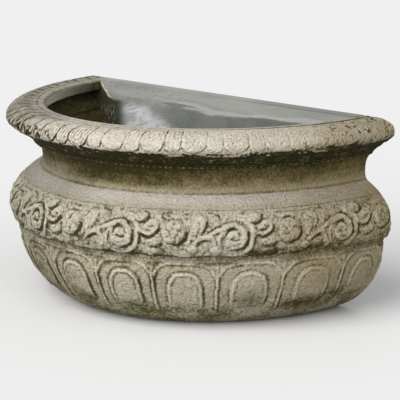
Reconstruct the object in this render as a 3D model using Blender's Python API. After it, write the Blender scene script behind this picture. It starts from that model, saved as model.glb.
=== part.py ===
"""Half-round stone cachepot that stands with its flat back against a wall.

The bowl is built in courses that rise from the base ring: bowl wall, frieze
wall, neck wall and a rolled rim that is hollow behind its lip. Each course is
one section swept round the same half-oval plan, and sits on the course below
in a rebate. A flat back panel closes the ends of the courses and a slab fills
the base ring. The carved ornament is laid on the walls piece by piece: arches
and tongues on the bowl, a running scroll on the frieze, leaves on the rim.

Frame: +Z up, the flat back faces +Y, the round front faces -Y, and the origin
is in the middle of the footprint, on the ground.
"""
import math

import bmesh
import bpy
from mathutils import Vector

# Overall sizes in metres
HALF_WIDTH = 0.300
DEPTH = 0.336
HEIGHT = 0.275

# Plan of the walls: a half oval that ends in a short straight run at the back
END_RUN = 0.006
PLAN_SEGMENTS = 28

# How far each course lies inside the widest line of the rim
BASE_INSET = 0.103
BOWL_INSET = 0.017
FRIEZE_INSET = 0.0055
NECK_INSET = 0.051
LIP_INSET = 0.0543

# Walls and the joints between the courses
WALL = 0.015
GAP = 0.0003
REBATE_HEIGHT = 0.005
GROOVE_DEPTH = 0.003
GROOVE_HALF_HEIGHT = 0.0025

# Bowl, from the base ring up to the groove; it shares with the cove what the other courses leave
BOWL_HEIGHT_SHARE = 0.7186
BASE_RING_WIDTH = 0.016
BOWL_CURVE_POWER = 1.75
BOWL_STEPS = 8

# Frieze, a swelling band between the groove and the shoulder
FRIEZE_LOW_RISE = 0.027
FRIEZE_HIGH_RISE = 0.038
FRIEZE_LOW_REACH = 0.044
FRIEZE_HIGH_REACH = 0.050
FRIEZE_SWELL = 0.056
FRIEZE_STEPS = 4

# Neck: a falling shoulder below, then a cove that opens up to the rim
SHOULDER_RISE = 0.016
COVE_FLARE = 0.016
SHOULDER_SHARES = [(0.22, 0.84), (0.50, 0.58), (0.78, 0.30), (1.0, 0.12)]
COVE_SHARES = [(0.15, 0.02), (0.37, 0.0), (0.60, 0.10), (0.76, 0.30), (0.90, 0.62), (1.0, 1.0)]

# Bead string, the half-round moulding just under the rim
STRING_DROP = 0.0055
STRING_WIDTH = 0.0070
STRING_RELIEF = 0.0032
STRING_SHARES = [(-1.0, 0.0), (-0.7, 0.7), (0.0, 1.0), (0.7, 0.7), (1.0, 0.0)]

# Rim: a flat band, a lip on its inside and an overhanging roll outside
RIM_RISE = 0.0465
LIP_DEPTH = 0.016
ROLL_REACH = 0.030
ROLL_HALF_HEIGHT = 0.018
ROLL_STEPS = 8
ROLL_UNDER_TURN = math.radians(-62)
ROLL_TOP_TURN = math.radians(90)

# Back panel, floor slab and the mortar beads in the back corners
PANEL_THICKNESS = 0.018
SLAB_THICKNESS = 0.018
MORTAR_RADIUS = 0.004

# Relief strips: sloping sides, and a back that is lifted clear where it crosses a turn of the wall
STRIP_CREST_SHARE = 0.5
STRIP_LIFT = 0.0003
MIN_STEP_SHARE = 0.12

# Arches and tongues on the bowl
ARCH_COUNT = 11
ARCH_FOOT_SHARE = 0.132
ARCH_TOP_DROP = 0.007
ARCH_STRIP_WIDTH = 0.0060
ARCH_RELIEF = 0.0028
ARCH_ROUND_SHARE = 0.28
ARCH_STEPS = 5
ARCH_SQUARENESS = 0.8
TONGUE_WIDTH = 0.052
TONGUE_FOOT_SHARE = 0.236
TONGUE_TOP_DROP = 0.014
TONGUE_ROUND_SHARE = 0.38
TONGUE_RELIEF = 0.0030
DART_WIDTH = 0.0050
DART_RELIEF = 0.0026
DART_TOP_DROP = 0.005
DART_LENGTH = 0.014

# Running scroll on the frieze: a rosette, a stem that winds into a volute, and leaves between
SCROLL_UNITS = 6
SCROLL_BAYS = 6.375
SCROLL_SHIFT_SHARE = 0.077
SCROLL_RISE = 0.0065
SCROLL_WIDTH = 0.0062
SCROLL_RELIEF = 0.0040
VOLUTE_PLACE_SHARE = 0.558
VOLUTE_RADIUS = 0.0215
VOLUTE_START_TURN = math.radians(200)
VOLUTE_TURNS = 1.6
VOLUTE_STEPS = 16
VOLUTE_TAPER_SHARE = 0.62
STEM_STEPS = 5
STEM_DROP = 0.010
STEM_DIP = 0.004
ROSETTE_RADIUS = 0.0155
ROSETTE_LIFT = 0.008
ROSETTE_RING_WIDTH = 0.0048
ROSETTE_RELIEF = 0.0036
ROSETTE_DISH = 0.0018
ROSETTE_BUTTON_RADIUS = 0.0045
RING_SLOPE_SHARE = 0.35
ROSETTE_STEPS = 12
LEAF_LENGTH = 0.024
LEAF_WIDTH = 0.012
LEAF_RELIEF = 0.0030
LEAF_STEPS = 8
UPRIGHT_LEAF_LIFT = 0.013
UPRIGHT_LEAF_TILT = math.radians(80)
CURLED_LEAF_TILT = math.radians(-50)

# Leaves on the rim roll, broad and narrow by turns
RIM_LEAF_COUNT = 18
RIM_LEAF_RELIEF = 0.0020
RIM_LEAF_LENGTH = 0.026
BROAD_LEAF_SHARE = 0.62
RIM_LEAF_STEPS = 4
RIM_LEAF_TIP_DROP = 0.025

# Places and small values that follow from the sizes above
BACK_Y = DEPTH / 2
BASE_HALF_WIDTH = HALF_WIDTH - BASE_INSET
BOWL_HALF_WIDTH = HALF_WIDTH - BOWL_INSET
FRIEZE_HALF_WIDTH = HALF_WIDTH - FRIEZE_INSET
NECK_HALF_WIDTH = HALF_WIDTH - NECK_INSET
LIP_HALF_WIDTH = HALF_WIDTH - LIP_INSET
FRIEZE_HEIGHT = FRIEZE_LOW_RISE + FRIEZE_HIGH_RISE
BOWL_HEIGHT = (HEIGHT - RIM_RISE - SHOULDER_RISE - FRIEZE_HEIGHT) * BOWL_HEIGHT_SHARE
BELLY_Z = BOWL_HEIGHT + FRIEZE_LOW_RISE
FRIEZE_TOP_Z = BOWL_HEIGHT + FRIEZE_HEIGHT
SHOULDER_TOP_Z = FRIEZE_TOP_Z + SHOULDER_RISE
NECK_TOP_Z = HEIGHT - RIM_RISE
COVE_RISE = NECK_TOP_Z - SHOULDER_TOP_Z
ARCH_FOOT_Z = BOWL_HEIGHT * ARCH_FOOT_SHARE
TONGUE_FOOT_Z = BOWL_HEIGHT * TONGUE_FOOT_SHARE
ARCH_TOP_Z = BOWL_HEIGHT - ARCH_TOP_DROP
TONGUE_TOP_Z = ARCH_TOP_Z - TONGUE_TOP_DROP
DART_TOP_Z = BOWL_HEIGHT - DART_TOP_DROP
SCROLL_Z = BELLY_Z + SCROLL_RISE
ROLL_HALF_WIDTH = HALF_WIDTH - RIM_LEAF_RELIEF
ROLL_MIDDLE_Z = HEIGHT - ROLL_HALF_HEIGHT
LIP_Z = HEIGHT - LIP_DEPTH
WELD = GAP / 100
FLAT_TURN = math.radians(0.5)
SHARP_TURN = math.radians(35)

# Colours and roughness
PALE_STONE = (0.46, 0.43, 0.36)
WARM_STONE = (0.36, 0.33, 0.26)
DARK_STONE = (0.22, 0.20, 0.14)
GREY_CEMENT = (0.30, 0.31, 0.30)
MORTAR_GREY = (0.38, 0.37, 0.32)
WEATHERED = 0.88
TROWELLED = 0.75
CRUMBLY = 0.92


def clear_scene():
    for item in list(bpy.data.objects):
        bpy.data.objects.remove(item, do_unlink=True)


def make_collection(name):
    group = bpy.data.collections.new(name)
    bpy.context.scene.collection.children.link(group)
    return group


def stone(name, colour, roughness):
    material = bpy.data.materials.new(name)
    material.use_nodes = True
    shader = material.node_tree.nodes["Principled BSDF"]
    shader.inputs["Base Color"].default_value = (*colour, 1.0)
    shader.inputs["Roughness"].default_value = roughness
    shader.inputs["Metallic"].default_value = 0.0
    return material


# Plan curve and the directions that point out of the wall along it

def plan_points():
    """Corners of the plan, from the left end round the front to the right end."""
    reach = DEPTH - END_RUN
    corners = [Vector((-HALF_WIDTH, BACK_Y))]
    for step in range(PLAN_SEGMENTS + 1):
        turn = math.pi * step / PLAN_SEGMENTS
        corners.append(Vector((-HALF_WIDTH * math.cos(turn), BACK_Y - END_RUN - reach * math.sin(turn))))
    corners.append(Vector((HALF_WIDTH, BACK_Y)))
    return corners


def plan_normals(corners):
    """Outward direction at each corner, square to the mean of its two runs."""
    runs = [(after - before).normalized() for before, after in zip(corners, corners[1:])]
    means = [runs[0]] + [(a + b).normalized() for a, b in zip(runs, runs[1:])] + [runs[-1]]
    return [Vector((mean.y, -mean.x)) for mean in means]


PLAN = plan_points()
PLAN_OUT = plan_normals(PLAN)


def run_lengths(points):
    """Distance travelled at each point of a chain."""
    lengths = [0.0]
    for before, after in zip(points, points[1:]):
        lengths.append(lengths[-1] + (after - before).length)
    return lengths


def narrowing(half_width, y):
    """How far in, at y, a wall face has curved from its half width at the back plane."""
    rings = [corner + away * (half_width - HALF_WIDTH) for corner, away in zip(PLAN, PLAN_OUT)]
    for before, after in zip(rings, rings[1:]):
        if after.y <= y <= before.y:
            share = (before.y - y) / (before.y - after.y)
            return half_width - abs(before.lerp(after, share).x)
    return 0.0


# Wall profiles, as chains of (half width, height) at the back

def bowl_profile():
    points = []
    for step in range(BOWL_STEPS + 1):
        turn = math.pi / 2 * (1 - step / BOWL_STEPS)
        out = math.cos(turn) ** (2 / BOWL_CURVE_POWER)
        down = math.sin(turn) ** (2 / BOWL_CURVE_POWER)
        x = BASE_HALF_WIDTH + (BOWL_HALF_WIDTH - BASE_HALF_WIDTH) * out
        points.append(Vector((x, (BOWL_HEIGHT - GROOVE_HALF_HEIGHT) * (1 - down))))
    points.append(Vector((BOWL_HALF_WIDTH - GROOVE_DEPTH, BOWL_HEIGHT)))
    return points


def frieze_profile():
    points = []
    low_turn = math.asin(FRIEZE_LOW_RISE / FRIEZE_LOW_REACH)
    high_turn = math.asin(FRIEZE_HIGH_RISE / FRIEZE_HIGH_REACH)
    for step in range(1 - FRIEZE_STEPS, FRIEZE_STEPS + 1):
        share = step / FRIEZE_STEPS
        turn = share * (high_turn if step > 0 else low_turn)
        reach = FRIEZE_HIGH_REACH if step > 0 else FRIEZE_LOW_REACH
        x = FRIEZE_HALF_WIDTH - FRIEZE_SWELL * (1 - math.cos(turn))
        points.append(Vector((x, BELLY_Z + reach * math.sin(turn))))
    foot_x = FRIEZE_HALF_WIDTH - FRIEZE_SWELL * (1 - math.cos(low_turn)) - GROOVE_DEPTH
    return [Vector((foot_x, BOWL_HEIGHT + GAP))] + points


def neck_profile(start):
    run = start.x - NECK_HALF_WIDTH
    points = [Vector((start.x, start.y + GAP))]
    for rise, out in SHOULDER_SHARES:
        points.append(Vector((NECK_HALF_WIDTH + run * out, FRIEZE_TOP_Z + SHOULDER_RISE * rise)))
    for rise, out in COVE_SHARES:
        height = SHOULDER_TOP_Z + COVE_RISE * rise
        points.append(Vector((NECK_HALF_WIDTH + COVE_FLARE * out, height)))
    return points


def roll_profile(start):
    points = [Vector((start.x, start.y + GAP))]
    for step in range(ROLL_STEPS + 1):
        turn = ROLL_UNDER_TURN + (ROLL_TOP_TURN - ROLL_UNDER_TURN) * step / ROLL_STEPS
        x = ROLL_HALF_WIDTH - ROLL_REACH * (1 - math.cos(turn))
        points.append(Vector((x, ROLL_MIDDLE_Z + ROLL_HALF_HEIGHT * math.sin(turn))))
    return points


def offset_chain(points, distance):
    """The chain moved sideways, to the left of its direction of travel."""
    runs = [(after - before).normalized() for before, after in zip(points, points[1:])]
    sides = [Vector((-run.y, run.x)) for run in runs]
    moved = [points[0] + sides[0] * distance]
    for point, a, b in zip(points[1:], sides, sides[1:]):
        moved.append(point + (a + b) * distance / (1 + a.dot(b)))
    moved.append(points[-1] + sides[-1] * distance)
    return moved


BOWL = bowl_profile()
FRIEZE = frieze_profile()
NECK = neck_profile(FRIEZE[-1])
ROLL = roll_profile(NECK[-1])


def inner_chain():
    """Inside of the walls, from the floor up to the underside of the lip, behind the roll."""
    under_roll = [point for point in ROLL if point.y < ROLL_MIDDLE_Z]
    outside = BOWL[1:-1] + FRIEZE[1:] + NECK[1:] + under_roll[1:]
    inside = offset_chain(outside, WALL)
    kept = [point for point in inside[::2] if point.y < LIP_Z - GAP]
    above = next((point for point in inside if point.y > LIP_Z), inside[-1])
    share = min((LIP_Z - kept[-1].y) / (above.y - kept[-1].y), 1)
    return kept + [kept[-1].lerp(above, share)]


INNER = inner_chain()


def inner_between(low, high):
    """The part of the inside between two heights, with a point on each."""
    points = []
    for before, after in zip(INNER, INNER[1:]):
        for level in (low, high):
            if before.y < level <= after.y:
                share = (level - before.y) / (after.y - before.y)
                points.append(before.lerp(after, share))
        if low < after.y < high:
            points.append(after)
    return sorted(points, key=lambda point: point.y)


def bed_joint(corner, level, side):
    """Top of a lower course (side -1) or underside of the one above it (side 1)."""
    middle = corner.x - WALL / 2 + side * GAP / 2
    lift = GAP if side > 0 else 0
    return [Vector((middle, level + lift)), Vector((middle, level + REBATE_HEIGHT + lift))]


# Making solids

def weld_and_face_out(mesh):
    work = bmesh.new()
    work.from_mesh(mesh)
    bmesh.ops.remove_doubles(work, verts=work.verts[:], dist=WELD)
    bmesh.ops.dissolve_degenerate(work, edges=work.edges[:], dist=WELD)
    bmesh.ops.recalc_face_normals(work, faces=work.faces[:])
    if work.calc_volume(signed=True) < 0:
        bmesh.ops.reverse_faces(work, faces=work.faces[:])
    return work


def poly_curve(name, chains, cyclic=False, flat=False):
    """A curve of straight runs, with one spline for each chain of points."""
    curve = bpy.data.curves.new(name, "CURVE")
    curve.dimensions = "2D" if flat else "3D"
    for chain in chains:
        spline = curve.splines.new("POLY")
        spline.points.add(len(chain) - 1)
        for knot, point in zip(spline.points, chain):
            place = tuple(point) + (0.0,) * (3 - len(point))
            knot.co = (*place, 1.0)
        spline.use_cyclic_u = cyclic
    return curve


def evaluated_copy(item):
    graph = bpy.context.evaluated_depsgraph_get()
    graph.update()
    mesh = bpy.data.meshes.new_from_object(item.evaluated_get(graph))
    mesh.transform(item.matrix_world)
    return mesh


def guide(name, curve, group):
    item = bpy.data.objects.new(name, curve)
    item.hide_render = True
    item.display_type = "WIRE"
    group.objects.link(item)
    return item


def curve_to_work(name, curve, guides):
    """Solid of a bevelled or extruded curve, as an editable mesh."""
    item = bpy.data.objects.new(name, curve)
    guides.objects.link(item)
    work = weld_and_face_out(evaluated_copy(item))
    bpy.data.objects.remove(item, do_unlink=True)
    return work


def finish(work, name, material, parts):
    bmesh.ops.triangulate(work, faces=work.faces[:])
    mesh = bpy.data.meshes.new(name)
    work.to_mesh(mesh)
    work.free()
    mesh.materials.append(material)
    mesh.shade_smooth()
    mesh.set_sharp_from_angle(angle=SHARP_TURN)
    item = bpy.data.objects.new(name, mesh)
    parts.objects.link(item)
    return item


def sweep_course(name, section, material, parts, guides):
    """A course: its section swept round the plan, with the ends in the back plane."""
    outline = [Vector((point.x - HALF_WIDTH, point.y)) for point in section]
    section_guide = guide(name + "_section", poly_curve(name, [outline], cyclic=True, flat=True), guides)
    path = poly_curve(name, [[Vector((corner.x, corner.y, 0.0)) for corner in PLAN]])
    path.bevel_mode = "OBJECT"
    path.bevel_object = section_guide
    path.use_fill_caps = True
    path.twist_mode = "Z_UP"
    return finish(curve_to_work(name, path, guides), name, material, parts)


class WallFace:
    """The outside of a course, addressed by the distance along the plan and up its profile."""

    def __init__(self, profile):
        self.profile = profile
        self.ups = run_lengths(profile)
        self.alongs = run_lengths(PLAN)
        runs = [(after - before).normalized() for before, after in zip(profile, profile[1:])]
        self.outs = [Vector((run.y, -run.x)) for run in runs]
        means = [self.outs[0]]
        means += [(a + b) / (1 + a.dot(b)) for a, b in zip(self.outs, self.outs[1:])]
        self.means = means + [self.outs[-1]]

    def up_at(self, height):
        """Distance up the profile at a height above the ground."""
        for index, (before, after) in enumerate(zip(self.profile, self.profile[1:])):
            if before.y <= height <= after.y:
                share = (height - before.y) / (after.y - before.y)
                return self.ups[index] + share * (self.ups[index + 1] - self.ups[index])
        return self.ups[-1]

    def half_width_at(self, up):
        index = self.cell(self.ups, up)
        share = (up - self.ups[index]) / (self.ups[index + 1] - self.ups[index])
        return self.profile[index].lerp(self.profile[index + 1], share).x

    def stretch(self, up):
        """Plan distance that covers one unit of real distance at this height."""
        inset = HALF_WIDTH - self.half_width_at(up)
        return self.alongs[-1] / (self.alongs[-1] - math.pi * inset)

    @staticmethod
    def cell(lengths, distance):
        for index in range(len(lengths) - 2):
            if distance < lengths[index + 1]:
                return index
        return len(lengths) - 2

    def place(self, along, up, out):
        row = self.cell(self.ups, up)
        column = self.cell(self.alongs, along)
        rise = (up - self.ups[row]) / (self.ups[row + 1] - self.ups[row])
        share = (along - self.alongs[column]) / (self.alongs[column + 1] - self.alongs[column])
        point = self.profile[row].lerp(self.profile[row + 1], rise)
        point = point + self.means[row].lerp(self.means[row + 1], rise) * out
        foot = PLAN[column].lerp(PLAN[column + 1], share)
        away = PLAN_OUT[column].lerp(PLAN_OUT[column + 1], share)
        across = foot + away * (point.x - HALF_WIDTH)
        return Vector((across.x, across.y, point.y))


def crease(work, face):
    """Cut a flat plate along the lines where the wall face that it lies on turns."""
    for lengths, axis in ((face.alongs, 0), (face.ups, 1)):
        values = [vert.co[axis] for vert in work.verts]
        for level in lengths:
            if min(values) + WELD < level < max(values) - WELD:
                cut = Vector((0.0, 0.0, 0.0))
                square = Vector((0.0, 0.0, 0.0))
                cut[axis] = level
                square[axis] = 1.0
                geometry = work.verts[:] + work.edges[:] + work.faces[:]
                bmesh.ops.bisect_plane(work, geom=geometry, dist=WELD, plane_co=cut, plane_no=square)


def dress(work, face, name, material, parts):
    """Lay a flat relief piece on a wall face."""
    bmesh.ops.triangulate(work, faces=work.faces[:])
    for vert in work.verts:
        vert.co = face.place(vert.co.x, vert.co.y, vert.co.z + GAP)
    return finish(work, name, material, parts)


def turning_points(points, face):
    """The chain with a point added wherever it crosses a line where the wall face turns."""
    chain = [points[0]]
    for before, after in zip(points, points[1:]):
        shares = []
        for lengths, axis in ((face.alongs, 0), (face.ups, 1)):
            step = after[axis] - before[axis]
            if abs(step) > WELD:
                shares += [(level - before[axis]) / step for level in lengths]
        for share in sorted(shares):
            if MIN_STEP_SHARE < share < 1 - MIN_STEP_SHARE:
                chain.append(tuple(a + (b - a) * share for a, b in zip(before, after)))
        chain.append(after)
    return chain


def relief_strip(points, width, relief, guides, taper=1.0):
    """A strip with a flat back and sloping sides, laid along flat points."""
    half = width / 2
    crest = half * STRIP_CREST_SHARE
    section = [(-half, STRIP_LIFT), (half, STRIP_LIFT), (crest, relief), (-crest, relief)]
    section_guide = guide("strip_section", poly_curve("strip", [section], cyclic=True, flat=True), guides)
    path = poly_curve("strip", [points])
    for index, knot in enumerate(path.splines[0].points):
        knot.radius = 1 + (taper - 1) * index / (len(points) - 1)
    path.bevel_mode = "OBJECT"
    path.bevel_object = section_guide
    path.use_fill_caps = True
    path.twist_mode = "Z_UP"
    work = curve_to_work("strip", path, guides)
    bpy.data.objects.remove(section_guide, do_unlink=True)
    return work


def relief_slab(outline, relief, guides, face=None):
    """A flat-backed plate, creased to suit the wall face that it lies on."""
    plate = poly_curve("plate", [outline], cyclic=True, flat=True)
    plate.fill_mode = "BOTH"
    plate.extrude = relief / 2
    work = curve_to_work("plate", plate, guides)
    bmesh.ops.translate(work, verts=work.verts[:], vec=(0.0, 0.0, relief / 2))
    bmesh.ops.dissolve_limit(work, angle_limit=FLAT_TURN, verts=work.verts[:], edges=work.edges[:])
    if face:
        crease(work, face)
    return work


def ellipse(centre, reach_x, reach_y, steps, tilt=0.0):
    points = []
    for step in range(steps):
        turn = math.tau * step / steps
        x, y = reach_x * math.cos(turn), reach_y * math.sin(turn)
        across = x * math.cos(tilt) - y * math.sin(tilt)
        rise = x * math.sin(tilt) + y * math.cos(tilt)
        points.append((centre[0] + across, centre[1] + rise))
    return points


def arch_points(middle, half_width, foot, top, top_round):
    """Left foot, up, over a flattened round top, and down to the right foot."""
    left = [(middle - half_width, foot)]
    for step in range(ARCH_STEPS + 1):
        turn = math.pi / 2 * step / ARCH_STEPS
        x = middle - half_width * math.cos(turn) ** ARCH_SQUARENESS
        left.append((x, top - top_round * (1 - math.sin(turn) ** ARCH_SQUARENESS)))
    right = [(2 * middle - x, y) for x, y in reversed(left[:-1])]
    return left + right


# The courses

def build_walls(materials, parts, guides):
    ring_x = BASE_HALF_WIDTH - BASE_RING_WIDTH
    ledge = INNER[0]
    bowl_top = bed_joint(BOWL[-1], BOWL_HEIGHT, -1)
    bowl_inside = inner_between(ledge.y, BOWL_HEIGHT + REBATE_HEIGHT)
    section = BOWL + bowl_top + bowl_inside[::-1] + [ledge, Vector((ring_x, ledge.y)), Vector((ring_x, 0.0))]
    sweep_course("bowl_wall", section, materials["bowl"], parts, guides)

    low = bed_joint(BOWL[-1], BOWL_HEIGHT, 1)
    high = bed_joint(FRIEZE[-1], FRIEZE_TOP_Z, -1)
    inside = inner_between(BOWL_HEIGHT + REBATE_HEIGHT + GAP, FRIEZE_TOP_Z + REBATE_HEIGHT)
    sweep_course("frieze_wall", FRIEZE + high + inside[::-1] + low[::-1], materials["frieze"], parts, guides)

    low = bed_joint(FRIEZE[-1], FRIEZE_TOP_Z, 1)
    high = bed_joint(NECK[-1], NECK_TOP_Z, -1)
    inside = inner_between(FRIEZE_TOP_Z + REBATE_HEIGHT + GAP, NECK_TOP_Z + REBATE_HEIGHT)
    sweep_course("neck_wall", NECK + high + inside[::-1] + low[::-1], materials["neck"], parts, guides)

    low = bed_joint(NECK[-1], NECK_TOP_Z, 1)
    inside = inner_between(NECK_TOP_Z + REBATE_HEIGHT + GAP, LIP_Z)
    lip = [Vector((LIP_HALF_WIDTH, HEIGHT)), Vector((LIP_HALF_WIDTH, LIP_Z))]
    sweep_course("rim_roll", ROLL + lip + inside[::-1] + low[::-1], materials["rim"], parts, guides)


def build_string(materials, parts, guides):
    """Half-round string that lies on the cove just under the rim."""
    face = WallFace(NECK)
    middle = face.up_at(NECK_TOP_Z) - STRING_DROP
    section = []
    for up, out in STRING_SHARES:
        distance = middle + up * STRING_WIDTH / 2
        row = face.cell(face.ups, distance)
        rise = (distance - face.ups[row]) / (face.ups[row + 1] - face.ups[row])
        foot = face.profile[row].lerp(face.profile[row + 1], rise)
        away = face.means[row].lerp(face.means[row + 1], rise)
        section.append(foot + away * (out * STRING_RELIEF + GAP))
    bends = [row for row in range(len(face.ups)) if abs(face.ups[row] - middle) < STRING_WIDTH / 2]
    for row in reversed(bends):
        section.append(face.profile[row] + face.means[row] * GAP)
    sweep_course("bead_string", section, materials["rim"], parts, guides)


def build_back(materials, parts, guides):
    ring_x = BASE_HALF_WIDTH - BASE_RING_WIDTH
    ledge = INNER[0]
    chain = [Vector((ring_x, -ledge.y)), Vector((ring_x, ledge.y))] + INNER
    chain += [Vector((LIP_HALF_WIDTH, LIP_Z)), Vector((LIP_HALF_WIDTH, 2 * HEIGHT))]
    side = offset_chain(chain, GAP)
    side[0].y = 0.0
    side[-1].y = HEIGHT
    outline = side + [Vector((-point.x, point.y)) for point in reversed(side)]
    plate = poly_curve("back_panel", [outline], cyclic=True, flat=True)
    plate.fill_mode = "BOTH"
    plate.extrude = PANEL_THICKNESS / 2
    work = curve_to_work("back_panel", plate, guides)
    for vert in work.verts:
        y = BACK_Y - PANEL_THICKNESS / 2 - vert.co.z
        inset = math.copysign(narrowing(abs(vert.co.x), y), vert.co.x)
        vert.co = Vector((vert.co.x - inset, y, vert.co.y))
    finish(work, "back_panel", materials["panel"], parts)

    slab_x = ring_x - GAP
    front_y = BACK_Y - PANEL_THICKNESS - GAP
    edge = [corner + away * (slab_x - HALF_WIDTH) for corner, away in zip(PLAN, PLAN_OUT)]
    edge = [point for point in edge if point.y < front_y]
    corner_x = slab_x - narrowing(slab_x, front_y)
    outline = [Vector((-corner_x, front_y))] + edge + [Vector((corner_x, front_y))]
    slab = poly_curve("floor_slab", [outline], cyclic=True, flat=True)
    slab.fill_mode = "BOTH"
    slab.extrude = SLAB_THICKNESS / 2
    work = curve_to_work("floor_slab", slab, guides)
    bmesh.ops.translate(work, verts=work.verts[:], vec=(0.0, 0.0, SLAB_THICKNESS / 2))
    finish(work, "floor_slab", materials["panel"], parts)

    bead_y = BACK_Y - PANEL_THICKNESS - GAP - MORTAR_RADIUS
    foot_z = SLAB_THICKNESS + MORTAR_RADIUS
    route = [point for point in offset_chain(INNER, MORTAR_RADIUS + GAP) if foot_z < point.y < NECK_TOP_Z]
    for name, side in (("corner_mortar_left", -1), ("corner_mortar_right", 1)):
        line = []
        for point in route:
            x = point.x - narrowing(point.x, bead_y - MORTAR_RADIUS)
            line.append(Vector((side * x, bead_y, point.y)))
        bead = poly_curve(name, [line])
        bead.bevel_depth = MORTAR_RADIUS
        bead.bevel_resolution = 1
        bead.use_fill_caps = True
        finish(curve_to_work(name, bead, guides), name, materials["mortar"], parts)


# The carved ornament

def build_arches(materials, parts, guides):
    face = WallFace(BOWL)
    pitch = face.alongs[-1] / ARCH_COUNT
    scale = face.stretch(face.up_at(TONGUE_TOP_Z))
    foot, top = face.up_at(ARCH_FOOT_Z), face.up_at(ARCH_TOP_Z)
    rib = ARCH_STRIP_WIDTH * scale
    tongue_foot, tongue_top = face.up_at(TONGUE_FOOT_Z), face.up_at(TONGUE_TOP_Z)
    arch_round = (top - foot) * ARCH_ROUND_SHARE
    tongue_round = (tongue_top - tongue_foot) * TONGUE_ROUND_SHARE
    inner, outer = [], []
    for bay in range(ARCH_COUNT):
        middle = pitch * (bay + 0.5)
        inner += arch_points(middle, (pitch - rib) / 2, foot, top - ARCH_STRIP_WIDTH, arch_round)
        outer += arch_points(middle, pitch / 2 - GAP, foot, top, arch_round)[1:-1]
        points = arch_points(middle, TONGUE_WIDTH / 2 * scale, tongue_foot, tongue_top, tongue_round)
        plate = relief_slab(points, TONGUE_RELIEF, guides, face)
        dress(plate, face, f"tongue_panel_{bay + 1:02d}", materials["relief"], parts)
    inner = [(GAP, foot)] + inner + [(face.alongs[-1] - GAP, foot)]
    arcade = relief_slab(inner + outer[::-1], ARCH_RELIEF, guides, face)
    dress(arcade, face, "arch_moulding", materials["relief"], parts)
    for joint in range(1, ARCH_COUNT):
        x = pitch * joint
        half = DART_WIDTH / 2
        high = face.up_at(DART_TOP_Z)
        low = high - DART_LENGTH
        points = [(x, low), (x + half, high), (x - half, high)]
        dart = relief_slab(points, DART_RELIEF, guides, face)
        dress(dart, face, f"spandrel_dart_{joint:02d}", materials["relief"], parts)


def volute_points(start, centre, scale):
    """A stem that dips away from a rosette and winds up into a volute."""
    coil = VOLUTE_RADIUS - SCROLL_WIDTH / 2
    winding = []
    for step in range(VOLUTE_STEPS + 1):
        share = step / VOLUTE_STEPS
        turn = VOLUTE_START_TURN - share * VOLUTE_TURNS * math.tau
        radius = coil * (1 - VOLUTE_TAPER_SHARE * share)
        winding.append((centre[0] + radius * scale * math.cos(turn), centre[1] + radius * math.sin(turn)))
    stem = []
    for step in range(STEM_STEPS):
        share = step / STEM_STEPS
        ease = (1 - math.cos(math.pi * share)) / 2
        dip = STEM_DIP * math.sin(math.pi * share)
        stem.append((start[0] + (winding[0][0] - start[0]) * share,
                     start[1] + (winding[0][1] - start[1]) * ease - dip))
    return stem + winding


def rosette_slab(centre, scale, guides, face):
    """A dished disc with a raised ring round it and a button in the middle."""
    outline = ellipse(centre, ROSETTE_RADIUS * scale, ROSETTE_RADIUS, ROSETTE_STEPS)
    work = relief_slab(outline, ROSETTE_RELIEF, guides)
    work.faces.ensure_lookup_table()
    top = [max(work.faces, key=lambda plate: plate.calc_center_median().z)]
    dish_radius = ROSETTE_RADIUS - ROSETTE_RING_WIDTH
    slope = ROSETTE_RING_WIDTH * RING_SLOPE_SHARE
    steps = [(ROSETTE_RING_WIDTH - slope, 0.0), (slope, -ROSETTE_DISH),
             (dish_radius - ROSETTE_BUTTON_RADIUS - slope, 0.0), (slope, ROSETTE_DISH)]
    for inset, depth in steps:
        bmesh.ops.inset_region(work, faces=top, thickness=inset, depth=depth, use_even_offset=True)
    crease(work, face)
    return work


def build_scroll(materials, parts, guides):
    face = WallFace(FRIEZE)
    middle_up = face.up_at(SCROLL_Z)
    high_up = middle_up + ROSETTE_LIFT
    scale = face.stretch(middle_up)
    pitch = face.alongs[-1] / SCROLL_BAYS
    leaf = 0
    for index in range(SCROLL_UNITS):
        rosette_x = face.alongs[-1] / 2 + pitch * (index - SCROLL_UNITS / 2 + SCROLL_SHIFT_SHARE)
        volute_x = rosette_x + pitch * VOLUTE_PLACE_SHARE
        rosette = rosette_slab((rosette_x, high_up), scale, guides, face)
        dress(rosette, face, f"rosette_{index + 1}", materials["relief"], parts)

        stem_x = rosette_x + (ROSETTE_RADIUS + SCROLL_WIDTH) * scale
        points = volute_points((stem_x, middle_up - STEM_DROP), (volute_x, middle_up), scale)
        taper = 1 - VOLUTE_TAPER_SHARE
        strip = relief_strip(turning_points(points, face), SCROLL_WIDTH, SCROLL_RELIEF, guides, taper)
        dress(strip, face, f"volute_scroll_{index + 1}", materials["relief"], parts)

        upright_x = (stem_x + volute_x - VOLUTE_RADIUS * scale) / 2
        curled_x = volute_x + (VOLUTE_RADIUS + LEAF_WIDTH) * scale
        upright = (upright_x, middle_up + UPRIGHT_LEAF_LIFT, UPRIGHT_LEAF_TILT)
        curled = (curled_x, middle_up, CURLED_LEAF_TILT)
        for x, up, tilt in (upright, curled):
            leaf += 1
            outline = ellipse((x, up), LEAF_LENGTH / 2, LEAF_WIDTH / 2, LEAF_STEPS, tilt=tilt)
            plate = relief_slab(outline, LEAF_RELIEF, guides, face)
            dress(plate, face, f"frieze_leaf_{leaf:02d}", materials["relief"], parts)


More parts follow.
